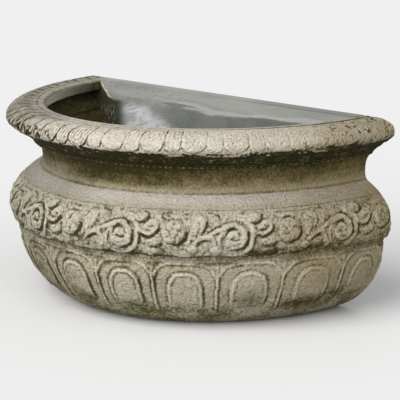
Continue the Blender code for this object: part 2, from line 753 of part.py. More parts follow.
def build_rim_leaves(materials, parts, guides):
    """Leaves that hang round the roll, broad and narrow by turns, joined along their tops."""
    face = WallFace(ROLL)
    pitch = face.alongs[-1] / RIM_LEAF_COUNT
    tip = face.up_at(HEIGHT - RIM_LEAF_TIP_DROP)
    top = tip + RIM_LEAF_LENGTH
    broad = pitch * BROAD_LEAF_SHARE / 2
    narrow = pitch * (1 - BROAD_LEAF_SHARE) / 2
    outline = [(face.alongs[-1], top), (0.0, top), (0.0, tip + narrow)]
    for index in range(RIM_LEAF_COUNT):
        for middle, half in ((pitch * (index + 0.5), broad), (pitch * (index + 1), narrow)):
            for step in range(1, RIM_LEAF_STEPS):
                turn = math.pi * (1 + step / RIM_LEAF_STEPS)
                x = min(middle + half * math.cos(turn), face.alongs[-1])
                outline.append((x, tip + narrow + narrow * math.sin(turn)))
            outline.append((min(middle + half, face.alongs[-1]), tip + narrow))
    tidy = [outline[0]]
    for point in outline[1:]:
        if point[0] < face.alongs[-1] - WELD:
            tidy.append(point)
    tidy.append((face.alongs[-1], tip))
    band = relief_slab(tidy, RIM_LEAF_RELIEF - GAP, guides, face)
    dress(band, face, "rim_leaf_band", materials["rim"], parts)


def main():
    clear_scene()
    parts = make_collection("cachepot")
    guides = make_collection("cachepot_guides")
    materials = {
        "bowl": stone("bowl_stone", WARM_STONE, WEATHERED),
        "frieze": stone("frieze_stone", WARM_STONE, WEATHERED),
        "neck": stone("neck_stone", DARK_STONE, WEATHERED),
        "rim": stone("rim_stone", PALE_STONE, WEATHERED),
        "relief": stone("relief_stone", PALE_STONE, WEATHERED),
        "panel": stone("panel_cement", GREY_CEMENT, TROWELLED),
        "mortar": stone("mortar", MORTAR_GREY, CRUMBLY),
    }
    build_walls(materials, parts, guides)
    build_string(materials, parts, guides)
    build_back(materials, parts, guides)
    build_arches(materials, parts, guides)
    build_scroll(materials, parts, guides)
    build_rim_leaves(materials, parts, guides)


main()
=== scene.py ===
"""Looks of a half-round cachepot in weathered cast stone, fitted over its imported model.

The sections go up the pot as it is cast: bowl, frieze, neck, rim and the string of beads
under it. Then come the cement panel, floor and mortar that close it, and the studio last.
Every course is one profile swept round the same half oval, with its carving raised from
the wall. Lengths are in metres, except along and up a carved band, which are in mm.
"""
import math

import bpy
import numpy as np
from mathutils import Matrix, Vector


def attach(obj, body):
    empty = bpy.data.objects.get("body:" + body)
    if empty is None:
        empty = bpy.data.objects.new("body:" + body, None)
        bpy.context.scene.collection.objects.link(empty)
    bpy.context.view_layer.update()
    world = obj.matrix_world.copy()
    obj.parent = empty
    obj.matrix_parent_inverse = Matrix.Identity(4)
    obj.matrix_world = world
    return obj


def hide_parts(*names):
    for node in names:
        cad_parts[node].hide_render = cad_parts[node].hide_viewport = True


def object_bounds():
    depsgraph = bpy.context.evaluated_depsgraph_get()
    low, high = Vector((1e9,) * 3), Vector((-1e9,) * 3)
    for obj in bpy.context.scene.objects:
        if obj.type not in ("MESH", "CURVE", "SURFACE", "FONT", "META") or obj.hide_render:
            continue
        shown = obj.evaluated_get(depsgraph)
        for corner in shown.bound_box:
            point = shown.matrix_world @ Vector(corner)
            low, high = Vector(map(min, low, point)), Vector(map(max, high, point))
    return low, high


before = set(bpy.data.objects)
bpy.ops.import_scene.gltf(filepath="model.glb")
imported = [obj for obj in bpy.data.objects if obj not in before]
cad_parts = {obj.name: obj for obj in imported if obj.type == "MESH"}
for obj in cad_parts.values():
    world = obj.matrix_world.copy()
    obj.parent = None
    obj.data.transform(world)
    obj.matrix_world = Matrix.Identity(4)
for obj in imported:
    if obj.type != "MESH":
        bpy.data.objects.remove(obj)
cad_low, cad_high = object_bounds()

# Bowl: the lower course of the casting, in sandy stone, with an arcade of eleven arches and
# a rounded tongue in each. It curves in to a ring foot, and a ledge inside the ring carries
# the floor slab.
MM = 0.001
BASE_HALF, BOWL_HALF, BOWL_TOP = 0.197, 0.283, 0.106
BOWL_POWER, BOWL_FACE = 1.75, 0.2813
GROOVE_HALF, GROOVE_DEEP = 0.0025, 0.003
LEDGE_Z, FOOT_RING_HALF = 0.01633, 0.1808
ARCHES, BAY = 11, 85.8
ARCH_SPREAD_SHARES = (0.95, 0.094)

# The whole pot: its plan, the inner lip at the top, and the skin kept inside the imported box.
HALF_WIDTH, END_RUN = 0.300, 0.006
BACK_Y, RIM_TOP = cad_high.y, cad_high.z
REACH = BACK_Y - cad_low.y - END_RUN
LIP_HEIGHT, SKIN = 0.016, 0.0001
LIP_LOW = RIM_TOP - LIP_HEIGHT

# The left of every course has gone dull, up to here in mm along it.
DULL_UP_TO = 470.0


def ramp(values):
    """The values held between 0 and 1."""
    return np.clip(values, 0.0, 1.0)


def hill(away, reach):
    """1 in the middle, falling softly to nearly 0 at twice the reach."""
    return np.exp(-(away / reach) ** 2)


def distances(chain):
    """Distance travelled at each point of a chain."""
    steps = np.hypot(np.diff(chain[:, 0]), np.diff(chain[:, 1]))
    return np.concatenate([[0.0], np.cumsum(steps)])


def evenly(chain, step):
    """The chain with points a regular step apart."""
    lengths = distances(chain)
    places = np.linspace(0.0, lengths[-1], max(2, round(lengths[-1] / step) + 1))
    return np.stack([np.interp(places, lengths, chain[:, k]) for k in (0, 1)], 1)


def flowing(points, steps=8):
    """A smooth line through a few points."""
    points = np.array(points, float)
    padded = np.vstack([2 * points[0] - points[1], points, 2 * points[-1] - points[-2]])
    line = []
    for a, b, c, d in zip(padded, padded[1:], padded[2:], padded[3:]):
        for t in np.arange(steps) / steps:
            line.append(0.5 * (2 * b + (c - a) * t + (2 * a - 5 * b + 4 * c - d) * t ** 2
                               + (3 * b - a - 3 * c + d) * t ** 3))
    return np.array(line + [points[-1]])


def softened(field, passes):
    """The field with each point averaged with its neighbours."""
    for _ in range(passes):
        edged = np.pad(field, 1, mode="edge")
        field = (edged[1:-1, :-2] + edged[1:-1, 2:] + edged[:-2, 1:-1] + edged[2:, 1:-1] + 2 * field) / 6
    return field


# The mould's plan is one open line, a half oval that meets the back in short straight runs.
# Every course lies at its own distance inside it.
oval_turn = np.linspace(0.0, math.pi, 4001)
plan_x = np.concatenate([[-HALF_WIDTH], -HALF_WIDTH * np.cos(oval_turn), [HALF_WIDTH]])
plan_y = np.concatenate([[BACK_Y], BACK_Y - END_RUN - REACH * np.sin(oval_turn), [BACK_Y]])
plan_along = distances(np.stack([plan_x, plan_y], 1))
plan_out_x = np.gradient(plan_y, plan_along)
plan_out_y = -np.gradient(plan_x, plan_along)


def on_plan(along, half_width):
    """Where a course of some half width passes, at a distance along the plan."""
    foot_x, foot_y, out_x, out_y = (np.interp(along, plan_along, line)
                                    for line in (plan_x, plan_y, plan_out_x, plan_out_y))
    inset = half_width - HALF_WIDTH
    return foot_x + out_x * inset, foot_y + out_y * inset


class Band:
    """A strip of wall laid flat, in mm along and up, that takes carving, dirt and wear, with painted shade
    and painted highlight.
    """

    def __init__(self, chain, step_along, step_up, face_half):
        """chain: half width and height in metres; steps: of the mesh, in mm; face_half: of the face."""
        self.profile = evenly(chain, step_up * MM)
        self.up = distances(self.profile) / MM
        self.length = (plan_along[-1] - math.pi * (HALF_WIDTH - face_half)) / MM
        self.along = np.linspace(0.0, self.length, round(self.length / step_along) + 1)
        self.x, self.y = np.meshgrid(self.along, self.up)
        self.relief, self.soil, self.wear, self.algae, self.moss = np.zeros((5, *self.x.shape))
        self.dull = 0.30 * self.left_of(DULL_UP_TO, 90.0)
        self.hand_x = self.x + 0.75 * self.clouds(6.0, 3) + 0.9 * self.clouds(19.0, 4)
        self.hand_y = self.y + 0.75 * self.clouds(6.0, 5) + 0.7 * self.clouds(19.0, 6)
        self.loss = self.clouds(13.0, 8)

    def clouds(self, cell, seed, along=1.0, up=1.0):
        """Soft random swellings from -1 to 1, about one cell across before a squeeze."""
        x, y = self.x * along, self.y * up
        draw = np.random.default_rng(seed)
        lattice = draw.uniform(-1.0, 1.0, (int(y.max() / cell) + 3, int(x.max() / cell) + 3))
        column, row = np.floor(x / cell).astype(int), np.floor(y / cell).astype(int)
        a, b = x / cell - column, y / cell - row
        a, b = a * a * (3 - 2 * a), b * b * (3 - 2 * b)
        low = lattice[row, column] * (1 - a) + lattice[row, column + 1] * a
        high = lattice[row + 1, column] * (1 - a) + lattice[row + 1, column + 1] * a
        return low * (1 - b) + high * b

    def up_at(self, height):
        """How far up the strip a height comes, in mm."""
        return np.interp(height, self.profile[:, 1], self.up)

    def above(self, height):
        """How far up the strip each point lies from a height."""
        return self.y - self.up_at(height)

    def left_of(self, place, fade):
        """1 well left of a place along the strip, and 0 right of it."""
        return ramp((place - self.x) / fade)

    def right_of(self, place, fade):
        """1 well right of a place along the strip, and 0 left of it."""
        return ramp((self.x - place) / fade)

    def spot(self, along, height, across, up):
        """A soft spot, 1 in its middle, by its place and its reach both ways."""
        return np.exp(-((self.x - along) / across) ** 2 - (self.above(height) / up) ** 2)

    def lay_on(self, **marks):
        """Lay marks over what is there, where they are stronger."""
        for mark, values in marks.items():
            setattr(self, mark, np.maximum(getattr(self, mark), values))

    def marked(self, middle, points, stretch=1.0):
        """Points given in mm from a middle line and by their height in mm, laid on the strip."""
        return [(middle + x * stretch, float(self.up_at(z * MM))) for x, z in points]

    def window(self, points, reach):
        """The part of the strip that lies round some points."""
        low, high = points.min(0) - reach, points.max(0) + reach
        columns = slice(*np.searchsorted(self.along, (low[0], high[0])))
        rows = slice(*np.searchsorted(self.up, (low[1], high[1])))
        return rows, columns

    def distance(self, points, spot):
        """Distance to a chain of points, and the share of the chain at the nearest place."""
        x, y = self.hand_x[spot], self.hand_y[spot]
        nearest = np.full(x.shape, np.inf)
        share = np.zeros(x.shape)
        for index, (start, end) in enumerate(zip(points, points[1:])):
            run = end - start
            t = ramp(((x - start[0]) * run[0] + (y - start[1]) * run[1]) / max(run @ run, 1e-9))
            gap = np.hypot(x - start[0] - t * run[0], y - start[1] - t * run[1])
            closer = gap < nearest
            nearest[closer] = gap[closer]
            share[closer] = (index + t[closer]) / (len(points) - 1)
        return nearest, share

    def raise_ridge(self, points, width, height, taper=1.0, edge=0.15):
        """A rounded ridge along a chain, with dirt where its sides meet the wall."""
        spot = self.window(points, width + 4.0)
        gap, share = self.distance(points, spot)
        half = width / 2 * (1 + (taper - 1) * share)
        body = np.sqrt(ramp(1 - (gap / half) ** 2))
        lift = height * (1 + (taper - 1) * 0.5 * share) * body
        self.relief[spot] = np.maximum(self.relief[spot], lift)
        self.wear[spot] = np.maximum(self.wear[spot], body ** 3)
        rim = edge * hill(gap - half - 0.5, 0.9) * (gap > half - 0.5)
        self.soil[spot] = np.maximum(self.soil[spot] * (gap > half - 0.8), rim)

    def cut_groove(self, points, width, depth, soil=1.0):
        """A dirty groove along a chain, shallow at both of its ends."""
        spot = self.window(points, width * 2.5)
        gap, share = self.distance(points, spot)
        ends = np.sqrt(np.clip(np.minimum(share, 1 - share) / 0.12, 0.15, 1.0))
        ends *= 0.85 + 0.35 * self.loss[spot]
        cut = hill(gap, width / 2) * ends
        self.relief[spot] -= depth * cut
        self.soil[spot] = np.maximum(self.soil[spot], soil * cut)
        self.wear[spot] *= 1 - cut

    def raise_form(self, outline, height, shoulder, edge=0.25):
        """A swelling inside a closed outline, rounded over for the width of its shoulder."""
        spot = self.window(outline, 4.0)
        gap, _ = self.distance(outline, spot)
        x, y = self.hand_x[spot], self.hand_y[spot]
        inside = np.zeros(x.shape, bool)
        for (ax, ay), (bx, by) in zip(outline, outline[1:]):
            if ay != by:
                inside ^= ((ay > y) != (by > y)) & (x < ax + (y - ay) * (bx - ax) / (by - ay))
        body = np.sqrt(1 - (1 - ramp(gap / shoulder)) ** 2) * inside
        self.relief[spot] = np.maximum(self.relief[spot], height * body)
        self.wear[spot] = np.where(inside, body ** 2, self.wear[spot])
        rim = edge * hill(gap - 0.4, 1.0) * ~inside
        self.soil[spot] = np.maximum(self.soil[spot] * ~inside, rim)

    def weather(self, lump, grit, seed):
        """Wear the carving down unevenly and pit it. Dirt and painted shade gather in hollows, painted shade
        lies below and right of raised forms, and painted highlight lies above and left of them.
        """
        self.relief = softened(self.relief, 1) * (0.95 + 0.18 * self.clouds(24.0, seed + 5))
        self.relief += lump * (self.clouds(38.0, seed) + 0.6 * self.clouds(9.0, seed + 1))
        pits = self.clouds(4.3, seed + 2) * self.clouds(2.6, seed + 3)
        self.relief += grit * (self.clouds(3.1, seed + 4) - 2.2 * ramp(pits - 0.12))
        smooth = softened(self.relief, 2)
        hollow = softened(smooth, 5) - self.relief
        # Painted light from the upper left: shade on the lower right of raised forms, highlight on their
        # upper left.
        painted_side_light = np.zeros_like(smooth)
        painted_side_light[:-2, 2:] = smooth[2:, :-2] - smooth[:-2, 2:]
        self.soil = softened(self.soil, 1) + 0.28 * np.clip(hollow, 0.0, 2.0)
        self.soil = np.clip(self.soil + 0.36 * np.clip(painted_side_light - 0.2, 0.0, 2.0), 0.0, 1.4)
        self.wear = softened(self.wear, 1) - 0.5 * np.clip(hollow, -0.7, 1.2)
        self.wear = ramp(self.wear - 0.25 * np.clip(painted_side_light, -0.8, 1.0))


def solid(name, points, faces, marks):
    """A smooth piece of mesh, with the marks at its points that its material reads."""
    mesh = bpy.data.meshes.new(name)
    mesh.from_pydata(points.tolist(), [], faces)
    mesh.shade_smooth()
    for mark, values in marks.items():
        layer = mesh.attributes.new(mark, "FLOAT", "POINT")
        layer.data.foreach_set("value", values.astype(np.float32).ravel())
    piece = bpy.data.objects.new(name, mesh)
    bpy.context.scene.collection.objects.link(piece)
    return piece


def swept_course(name, band, closing):
    """One course: the carved strip and then a plain closing chain, swept round the plan."""
    tangent = np.gradient(band.profile, axis=0)
    size = np.hypot(tangent[:, 0], tangent[:, 1])[:, None]
    normal = np.stack([tangent[:, 1], -tangent[:, 0]], 1) / size
    columns = len(band.along)
    closing = np.array(closing, float)
    half_width, height = (
        np.vstack([band.profile[:, [k]] + normal[:, [k]] * band.relief * MM,
                   np.repeat(closing[:, [k]], columns, 1)]) for k in (0, 1))
    along = band.along / band.length * plan_along[-1]
    x, y = on_plan(along, np.minimum(half_width, cad_high.x - SKIN))
    points = np.stack([x, y, np.clip(height, 0.0, RIM_TOP)], 2).reshape(-1, 3)

    numbers = np.arange(len(points)).reshape(-1, columns)
    above = np.roll(numbers, -1, axis=0)
    quads = np.stack([numbers[:, :-1], numbers[:, 1:], above[:, 1:], above[:, :-1]], 2).reshape(-1, 4)
    faces = quads.tolist() + [numbers[::-1, -1].tolist(), numbers[:, 0].tolist()]
    # Inside faces take dirt and painted shade of the hollow walls, with algae.
    on_inside = {"soil": 0.75, "wear": 0.0, "algae": 1.0, "moss": 0.0, "dull": 0.0}
    marks = {mark: np.vstack([getattr(band, mark), np.full((len(closing), columns), value)])
             for mark, value in on_inside.items()}
    return solid(name, points, faces, marks)


def inner_wall(low, high):
    """The inside of the wall down from one height to another, read off the back panel's edge."""
    edge = {}
    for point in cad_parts["back_panel"].data.vertices:
        x, y, z = point.co
        if x > 0 and y > BACK_Y - MM and z < LIP_LOW - MM:
            edge[round(z, 5)] = max(x, edge.get(round(z, 5), 0.0))
    edge = np.array(sorted(edge.items()))
    heights = [z for z in edge[:, 0] if low + MM < z < high - MM]
    return [(np.interp(z, edge[:, 0], edge[:, 1]), z) for z in [high] + heights[::-1] + [low]]


turn = np.linspace(math.pi / 2, 0.0, 400)
bowl_line = np.stack([
    BASE_HALF + (BOWL_HALF - BASE_HALF) * np.cos(turn) ** (2 / BOWL_POWER),
    (BOWL_TOP - GROOVE_HALF) * (1 - np.sin(turn) ** (2 / BOWL_POWER)),
], 1)
bowl_line = np.vstack([bowl_line, [(BOWL_HALF - GROOVE_DEEP, BOWL_TOP)]])
bowl = Band(bowl_line, step_along=1.5, step_up=1.5, face_half=BOWL_FACE)

# Right halves of the lines of one bay: mm from its middle, and height in mm.
ARCH_HALF = [(0, 101.0), (14, 100.8), (25, 99.4), (33, 94.5), (39.5, 86), (42, 78), (42.2, 60),
             (41.6, 42), (41, 26)]
TONGUE_HALF = [(0, 90.8), (9, 89.6), (17, 85.6), (22.5, 78.5), (25.2, 69), (26, 56), (26, 44),
               (25.4, 33)]
CORD_HALF = [(0, 86.6), (8, 85.4), (14.5, 82), (18.8, 75.8), (21, 67), (21.6, 55), (21.4, 40)]
INNER_HALF = [(x * 0.83, z - 3.4) for x, z in CORD_HALF]

# Ridges have a width and a relief in mm, and grooves a width, a depth and their dirt. The
# tongue has its relief and the width of its rounded edge.
TONGUE_SWELL, CORD_RIDGE, ARCH_RIDGE = (1.9, 13.0), (4.6, 2.6), (3.6, 2.0)
TONGUE_GROOVE, INNER_GROOVE, ARCH_GROOVE = (3.2, 2.2), (2.2, 0.7, 0.42), (2.4, 0.5, 0.25)
ARCH_GROOVE_LIFT = 2.3

# The dart between two arches: a straight rib, the tip that runs up from it, and the grooves
# beside the rib, each led by its place across.
DART_RIB, DART_TIP = [(-0.6, 26), (0, 55), (0, 84)], [(0, 84), (0.3, 93), (0.6, 101)]
RIB_RIDGE, TIP_RIDGE = (3.4, 2.3), (2.8, 1.8)
RIB_GROOVES = [(2.8, 2.2, 1.3, 0.8), (-3.0, 2.4, 1.4, 0.9)]

# Dark smudges and moss: mm along, height, reach along, reach up, and strength.
SMUDGES = [(732, 0.047, 26, 17, 0.62), (812, 0.033, 30, 17, 0.78), (866, 0.042, 22, 12, 0.50),
           (905, 0.045, 60, 26, 0.20), (610, 0.028, 22, 9, 0.35), (455, 0.040, 34, 40, 0.30),
           (380, 0.060, 34, 60, 0.35)]
MOSS_PATCHES = [(572, 0.024, 58, 24, 0.72), (520, 0.014, 70, 13, 0.55), (680, 0.022, 44, 20, 0.66),
                (630, 0.008, 80, 11, 0.60), (770, 0.012, 70, 10, 0.60), (880, 0.030, 60, 14, 0.50)]
CHIP = (765.0, 0.043, 3.2, 3.0)

# Heights at which the carving fades out, the splashes start, and the stain over the arches,
# and places in mm up to which the tongues are dirtier, and from which the bowl is cleaner
# and then splashed higher up.
CARVED_FROM, SPLASHED_FROM = 0.026, 0.018
STAINED_FROM, ARCHES_TOP = 0.0965, 0.1024
TONGUES_DIRTY_TO, BOWL_CLEAN_FROM, SPLASHED_HIGHER_FROM = 560.0, 640.0, 741.0


def both_sides(half):
    """The line across the whole bay, from its right half."""
    return [(-x, z) for x, z in reversed(half[1:])] + half


def meeting(number):
    """Where two arches meet, in mm along: a little wider towards the back."""
    out = (number - ARCHES / 2) * 2 / ARCHES
    out *= ARCH_SPREAD_SHARES[0] + ARCH_SPREAD_SHARES[1] * abs(out)
    return bowl.length / 2 * (1 + min(max(out, -1.0), 1.0))


bays = []
for bay in range(ARCHES):
    middle = (meeting(bay) + meeting(bay + 1)) / 2
    stretch = (meeting(bay + 1) - meeting(bay)) / BAY
    arch, tongue, cord, inner = (flowing(bowl.marked(middle, both_sides(half), stretch), 5)
                                 for half in (ARCH_HALF, TONGUE_HALF, CORD_HALF, INNER_HALF))
    bowl.raise_form(np.vstack([tongue, tongue[:1]]), *TONGUE_SWELL, edge=0.0)
    bays.append((middle, arch, tongue, cord, inner))
bowl.wear *= 0.40
for middle, arch, tongue, cord, inner in bays:
    bowl.raise_ridge(cord, *CORD_RIDGE, edge=0.0)
    bowl.cut_groove(inner, *INNER_GROOVE)
    bowl.cut_groove(tongue, *TONGUE_GROOVE, 0.60 + 0.3 * ramp((TONGUES_DIRTY_TO - middle) / 120.0))
    bowl.cut_groove(arch + (0.0, ARCH_GROOVE_LIFT), *ARCH_GROOVE)
    bowl.raise_ridge(arch, *ARCH_RIDGE, edge=0.3)
foot_fade = ramp(bowl.above(CARVED_FROM) / 22.0)
bowl.relief *= foot_fade
bowl.soil *= foot_fade
for number in range(1, ARCHES):
    rib = flowing(bowl.marked(meeting(number), DART_RIB), 5)
    for aside, *groove in RIB_GROOVES:
        bowl.cut_groove(rib + (aside, 0.0), *groove)
    bowl.raise_ridge(rib, *RIB_RIDGE, edge=0.1)
    bowl.raise_ridge(flowing(bowl.marked(meeting(number), DART_TIP), 4), *TIP_RIDGE, edge=0.2)

# The groove at the top is partly filled with dirt. Splashes and moss lie near the ground.
bowl.relief += 1.4 * ramp(bowl.above(BOWL_TOP - GROOVE_HALF) / 3.0)
over_arches = bowl.above(ARCHES_TOP) > 0
stained = 0.32 + 0.2 * bowl.clouds(20.0, 17)
bowl.lay_on(soil=stained * ramp(bowl.above(STAINED_FROM) / 4.0))
damp = 0.5 + 0.8 * bowl.clouds(26.0, 14) + 0.5 * bowl.clouds(9.0, 15)
over_foot = bowl.above(SPLASHED_FROM)
splash = ramp(1.05 - over_foot / 34.0) * (0.10 + 0.36 * ramp(damp))
splash += 0.22 * bowl.right_of(SPLASHED_HIGHER_FROM, 260.0) * ramp(1.5 - over_foot / 40.0)
for *place, share in SMUDGES:
    smudge = share * bowl.spot(*place)
    splash += smudge * (0.9 + 0.5 * bowl.clouds(5.0, 18))
    bowl.lay_on(algae=0.8 * smudge)
bowl.soil = np.maximum(bowl.soil, splash) + 0.16 + 0.10 * bowl.clouds(24.0, 16)
bowl.soil -= 0.16 * bowl.right_of(BOWL_CLEAN_FROM, 80.0)
for *place, share in MOSS_PATCHES:
    bowl.lay_on(moss=share * bowl.spot(*place))
bowl.wear = (0.12 + 0.42 * bowl.wear) * ramp((over_foot + 6.0) / 36.0)
bowl.weather(lump=0.40, grit=0.30, seed=11)
bowl.soil = np.where(over_arches, np.minimum(bowl.soil, stained), bowl.soil)
bowl.lay_on(algae=0.18 * over_arches)
chip = bowl.spot(*CHIP)
bowl.relief -= 0.8 * chip
bowl.wear += 3.0 * chip
bowl.soil *= 1.0 - ramp(2.0 * chip)


# The stone of all four courses is sandy, bleached with painted highlight on its high points, and dark
# with dirt and painted shade in its hollows, with specks of lichen, and moss near the ground. A wire
# is what its shader is written in.
class Wire:
    """An output in a material's node tree; sums and products of wires add their Math nodes."""

    def __init__(self, tree, socket=None):
        self.tree = tree
        self.socket = socket

    def fill(self, node, sockets):
        """Give a node's sockets their values, or links from wires."""
        for name, value in dict(sockets).items():
            if isinstance(value, Wire):
                self.tree.links.new(value.socket, node.inputs[name])
            else:
                node.inputs[name].default_value = value

    def node(self, kind, settings=(), sockets=(), output=0):
        """A new node, with its settings made before its sockets are filled."""
        made = self.tree.nodes.new("ShaderNode" + kind)
        for name, value in dict(settings).items():
            setattr(made, name, value)
        self.fill(made, sockets)
        return Wire(self.tree, made.outputs[output])

    def maths(self, operation, first, second=0.0):
        """A Math node on two numbers or wires."""
        return self.node("Math", {"operation": operation}, {0: first, 1: second})

    def __add__(self, other):
        return self.maths("ADD", self, other)

    def __sub__(self, other):
        return self.maths("SUBTRACT", self, other)

    def __rsub__(self, other):
        return self.maths("SUBTRACT", other, self)

    def __mul__(self, other):
        return self.maths("MULTIPLY", self, other)

    __radd__ = __add__
    __rmul__ = __mul__

    def above(self, low, high):
        """0 below the low value, 1 above the high one, and a soft step between."""
        return self.node("MapRange", {"interpolation_type": "SMOOTHSTEP"},
                         {"Value": self, "From Min": low, "From Max": high})

    def clipped(self):
        """The value held between 0 and 1."""
        return self.node("Clamp", (), {"Value": self})

    def mark(self, name):
        """A value that the mesh carries at its points."""
        return self.node("Attribute", {"attribute_name": name}, output="Fac")

    def mottle(self, size, detail=3.0, rough=0.55, stretch=(1.0, 1.0, 1.0), lean=0.0):
        """Noise whose patches are about size metres across, from 0 to 1."""
        place = self.node("TexCoord", output="Object")
        if lean:
            place = self.node("VectorRotate", {"rotation_type": "Y_AXIS"}, {"Vector": place, "Angle": lean})
        scaled = self.node("VectorMath", {"operation": "MULTIPLY"}, {0: place, 1: stretch})
        return self.node("TexNoise", (), {"Vector": scaled, "Scale": 1.0 / size, "Detail": detail,
                                          "Roughness": rough})

    def place(self, axis):
        """Where the point is along one axis of the pot, in metres."""
        return self.node("SeparateXYZ", (), {0: self.node("TexCoord", output="Object")}, output=axis)

    def mixed(self, share, under, over, blend="MIX"):
        """A colour with a share of another laid over it."""
        under, over = (colour if isinstance(colour, Wire) else (*colour, 1.0) for colour in (under, over))
        return self.node("Mix", {"data_type": "RGBA", "blend_type": blend}, {0: share, 6: under, 7: over},
                         output=2)

    def tinted(self, share, colour):
        """This colour, with a share of another laid over it."""
        return self.mixed(share, self, colour)

    def bump(self, distance, strength=1.0):
        """This height as a bump in the surface."""
        return self.node("Bump", (), {"Strength": strength, "Distance": distance, "Height": self})


def new_material(name):
    """A fresh material, a wire to start its nodes from, and its shader."""
    material = bpy.data.materials.new(name)
    material.use_nodes = True
    return material, Wire(material.node_tree), material.node_tree.nodes["Principled BSDF"]


def tone(*seen):
    """A colour as it looks on screen, 0 to 255, as the linear values that a shader takes."""
    return tuple((v / 255 / 12.92) if v <= 10 else ((v / 255 + 0.055) / 1.055) ** 2.4 for v in seen)


UMBER, EARTH, DUN = tone(146, 122, 62), tone(106, 95, 52), tone(140, 139, 129)
LICHEN, MOSS, ALGAE = tone(222, 219, 190), tone(102, 104, 54), tone(70, 66, 32)
GRAIN = tone(160, 155, 138)


def weathered_stone(name, body, bleached_and_highlight, grime_and_shade, brown, crumbs, ragged):
    """Cast stone: bleached high points with painted highlight, grime and painted shade in hollows, moss,
    crumbs of lichen, and grain over all.
    """
    material, ink, shader = new_material(name)
    fine, sand = ink.mottle(0.0035, 2.5, 0.62), ink.mottle(0.0018, 1.0)
    patch, broad = ink.mottle(0.013, 3.5, 0.65), ink.mottle(0.08, 3.0)
    soil, wear, algae, moss, dull = (ink.mark(mark) for mark in ("soil", "wear", "algae", "moss", "dull"))
    rough = fine * 0.65 + sand * 0.35
    blotch = patch * 0.6 + fine * 0.4

    # Bleaching and painted highlight, led by the wear and highlight mark.
    bleach_and_highlight = (wear * 0.9 + ((patch - 0.5) * 1.6 + (fine - 0.5) * 2.4) * ragged - 0.06).clipped()
    colour = ink.mixed(bleach_and_highlight * 0.85, body, bleached_and_highlight)
    colour = colour.tinted(dull * (patch * 0.8 + 0.6), DUN)
    to_right = (ink.place("X") * 6.0 + broad * 1.1 - 1.60).above(0.0, 1.0)
    colour = colour.tinted(to_right * brown, UMBER)
    # Dirt and painted shade, led by the soil and shade mark.
    cover = soil + ((fine - 0.5) * 1.7 + (patch - 0.5) * 1.2) * (0.85 - soil * 0.25) * ragged
    colour = colour.tinted(cover.above(0.14, 0.65) * 0.74, EARTH)
    colour = colour.tinted(cover.above(0.48, 1.00) * 0.94, grime_and_shade)
    crumb = (1.0 - rough).above(0.57, 0.62) * blotch.above(0.48, 0.62)
    colour = colour.tinted(crumb * crumbs, LICHEN)
    mossy = moss + ((patch - 0.5) * 1.5 + (fine - 0.5) * 2.2) * 0.8 - 0.1
    colour = colour.tinted(mossy.above(0.0, 0.8) * moss.above(0.0, 0.3), MOSS)
    colour = colour.tinted(algae * (0.60 + patch * 0.3), ALGAE)
    grain = rough.above(0.42, 0.58) * 0.62 + blotch.above(0.42, 0.58) * 0.38
    colour = ink.mixed(grain * (0.25 + 0.40 * ragged), colour, GRAIN, "MULTIPLY")
    height = fine + sand * 0.35 + patch * 0.5
    ink.fill(shader, {"Base Color": colour, "Roughness": 0.84 + patch * 0.14, "Normal": height.bump(0.0046),
                      "Specular IOR Level": 0.12})
    return material


def paint(piece, material):
    """Give a piece its material and the body it rides on."""
    piece.data.materials.append(material)
    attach(piece, "root")


STONE_BODY, STONE_BLEACHED_AND_HIGHLIGHT, STONE_GRIME_AND_SHADE = tone(188, 181, 159), tone(238, 232, 216), tone(70, 65, 30)

bowl_closing = inner_wall(LEDGE_Z, BOWL_TOP) + [(FOOT_RING_HALF, LEDGE_Z), (FOOT_RING_HALF, 0.0)]
bowl_piece = swept_course("bowl", bowl, bowl_closing)
bowl_stone = weathered_stone("bowl_stone", STONE_BODY, STONE_BLEACHED_AND_HIGHLIGHT, STONE_GRIME_AND_SHADE,
                             brown=0.55, crumbs=0.6, ragged=0.65)
paint(bowl_piece, bowl_stone)
bowl_nodes = ("bowl_wall", "arch_moulding", "tongue_panel", "spandrel_dart")
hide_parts(*[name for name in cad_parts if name.startswith(bowl_nodes)])


# Frieze: the swelling course above the groove, in the same stone, cast with a running
# scroll. Each repeat has a rosette, an upright leaf, a bud, a wound volute and a cupped
# leaf with its tip.
FRIEZE_HALF, FRIEZE_SWELL = 0.2945, 0.056
BELLY_Z, FRIEZE_TOP = 0.133, 0.171
FRIEZE_LOW_REACH, FRIEZE_HIGH_REACH = 0.044, 0.050
FRIEZE_FACE = 0.2976
SCROLLS, SCROLL_BAYS, FIRST_VOLUTE = 6, 6.375, 122.0
ROSETTE_ALONG, ROSETTE_Z, ROSETTE_REACH, BUTTON_REACH = 74.0, 0.1450, 17.0, 4.6
DISH_RELIEF, PETAL_RELIEF, BUTTON_RELIEF = 2.2, 1.3, 3.7

# Heights of the ledge under the carving, of the dirt at its foot, and of the dark line, and
# the place in mm from which the frieze is cleaner.
LEDGE_UNDER_Z, FOOT_DIRT_Z, DARK_LINE_Z = 0.1155, 0.109, 0.1118
FRIEZE_CLEAN_FROM = 660.0

low_turn = math.asin((BELLY_Z - BOWL_TOP) / FRIEZE_LOW_REACH)
high_turn = math.asin((FRIEZE_TOP - BELLY_Z) / FRIEZE_HIGH_REACH)
turn = np.linspace(-low_turn, high_turn, 300)
reach = np.where(turn < 0, FRIEZE_LOW_REACH, FRIEZE_HIGH_REACH)
frieze_line = np.stack([FRIEZE_HALF - FRIEZE_SWELL * (1 - np.cos(turn)), BELLY_Z + reach * np.sin(turn)], 1)
foot = [(frieze_line[0, 0] - GROOVE_DEEP, BOWL_TOP)]
frieze = Band(np.vstack([foot, frieze_line]), step_along=1.15, step_up=1.15, face_half=FRIEZE_FACE)


def looped(points, steps=6):
    """A smooth closed outline through a few points."""
    line = flowing(points[-2:] + points + points[:2], steps)
    return line[2 * steps:(2 + len(points)) * steps + 1]


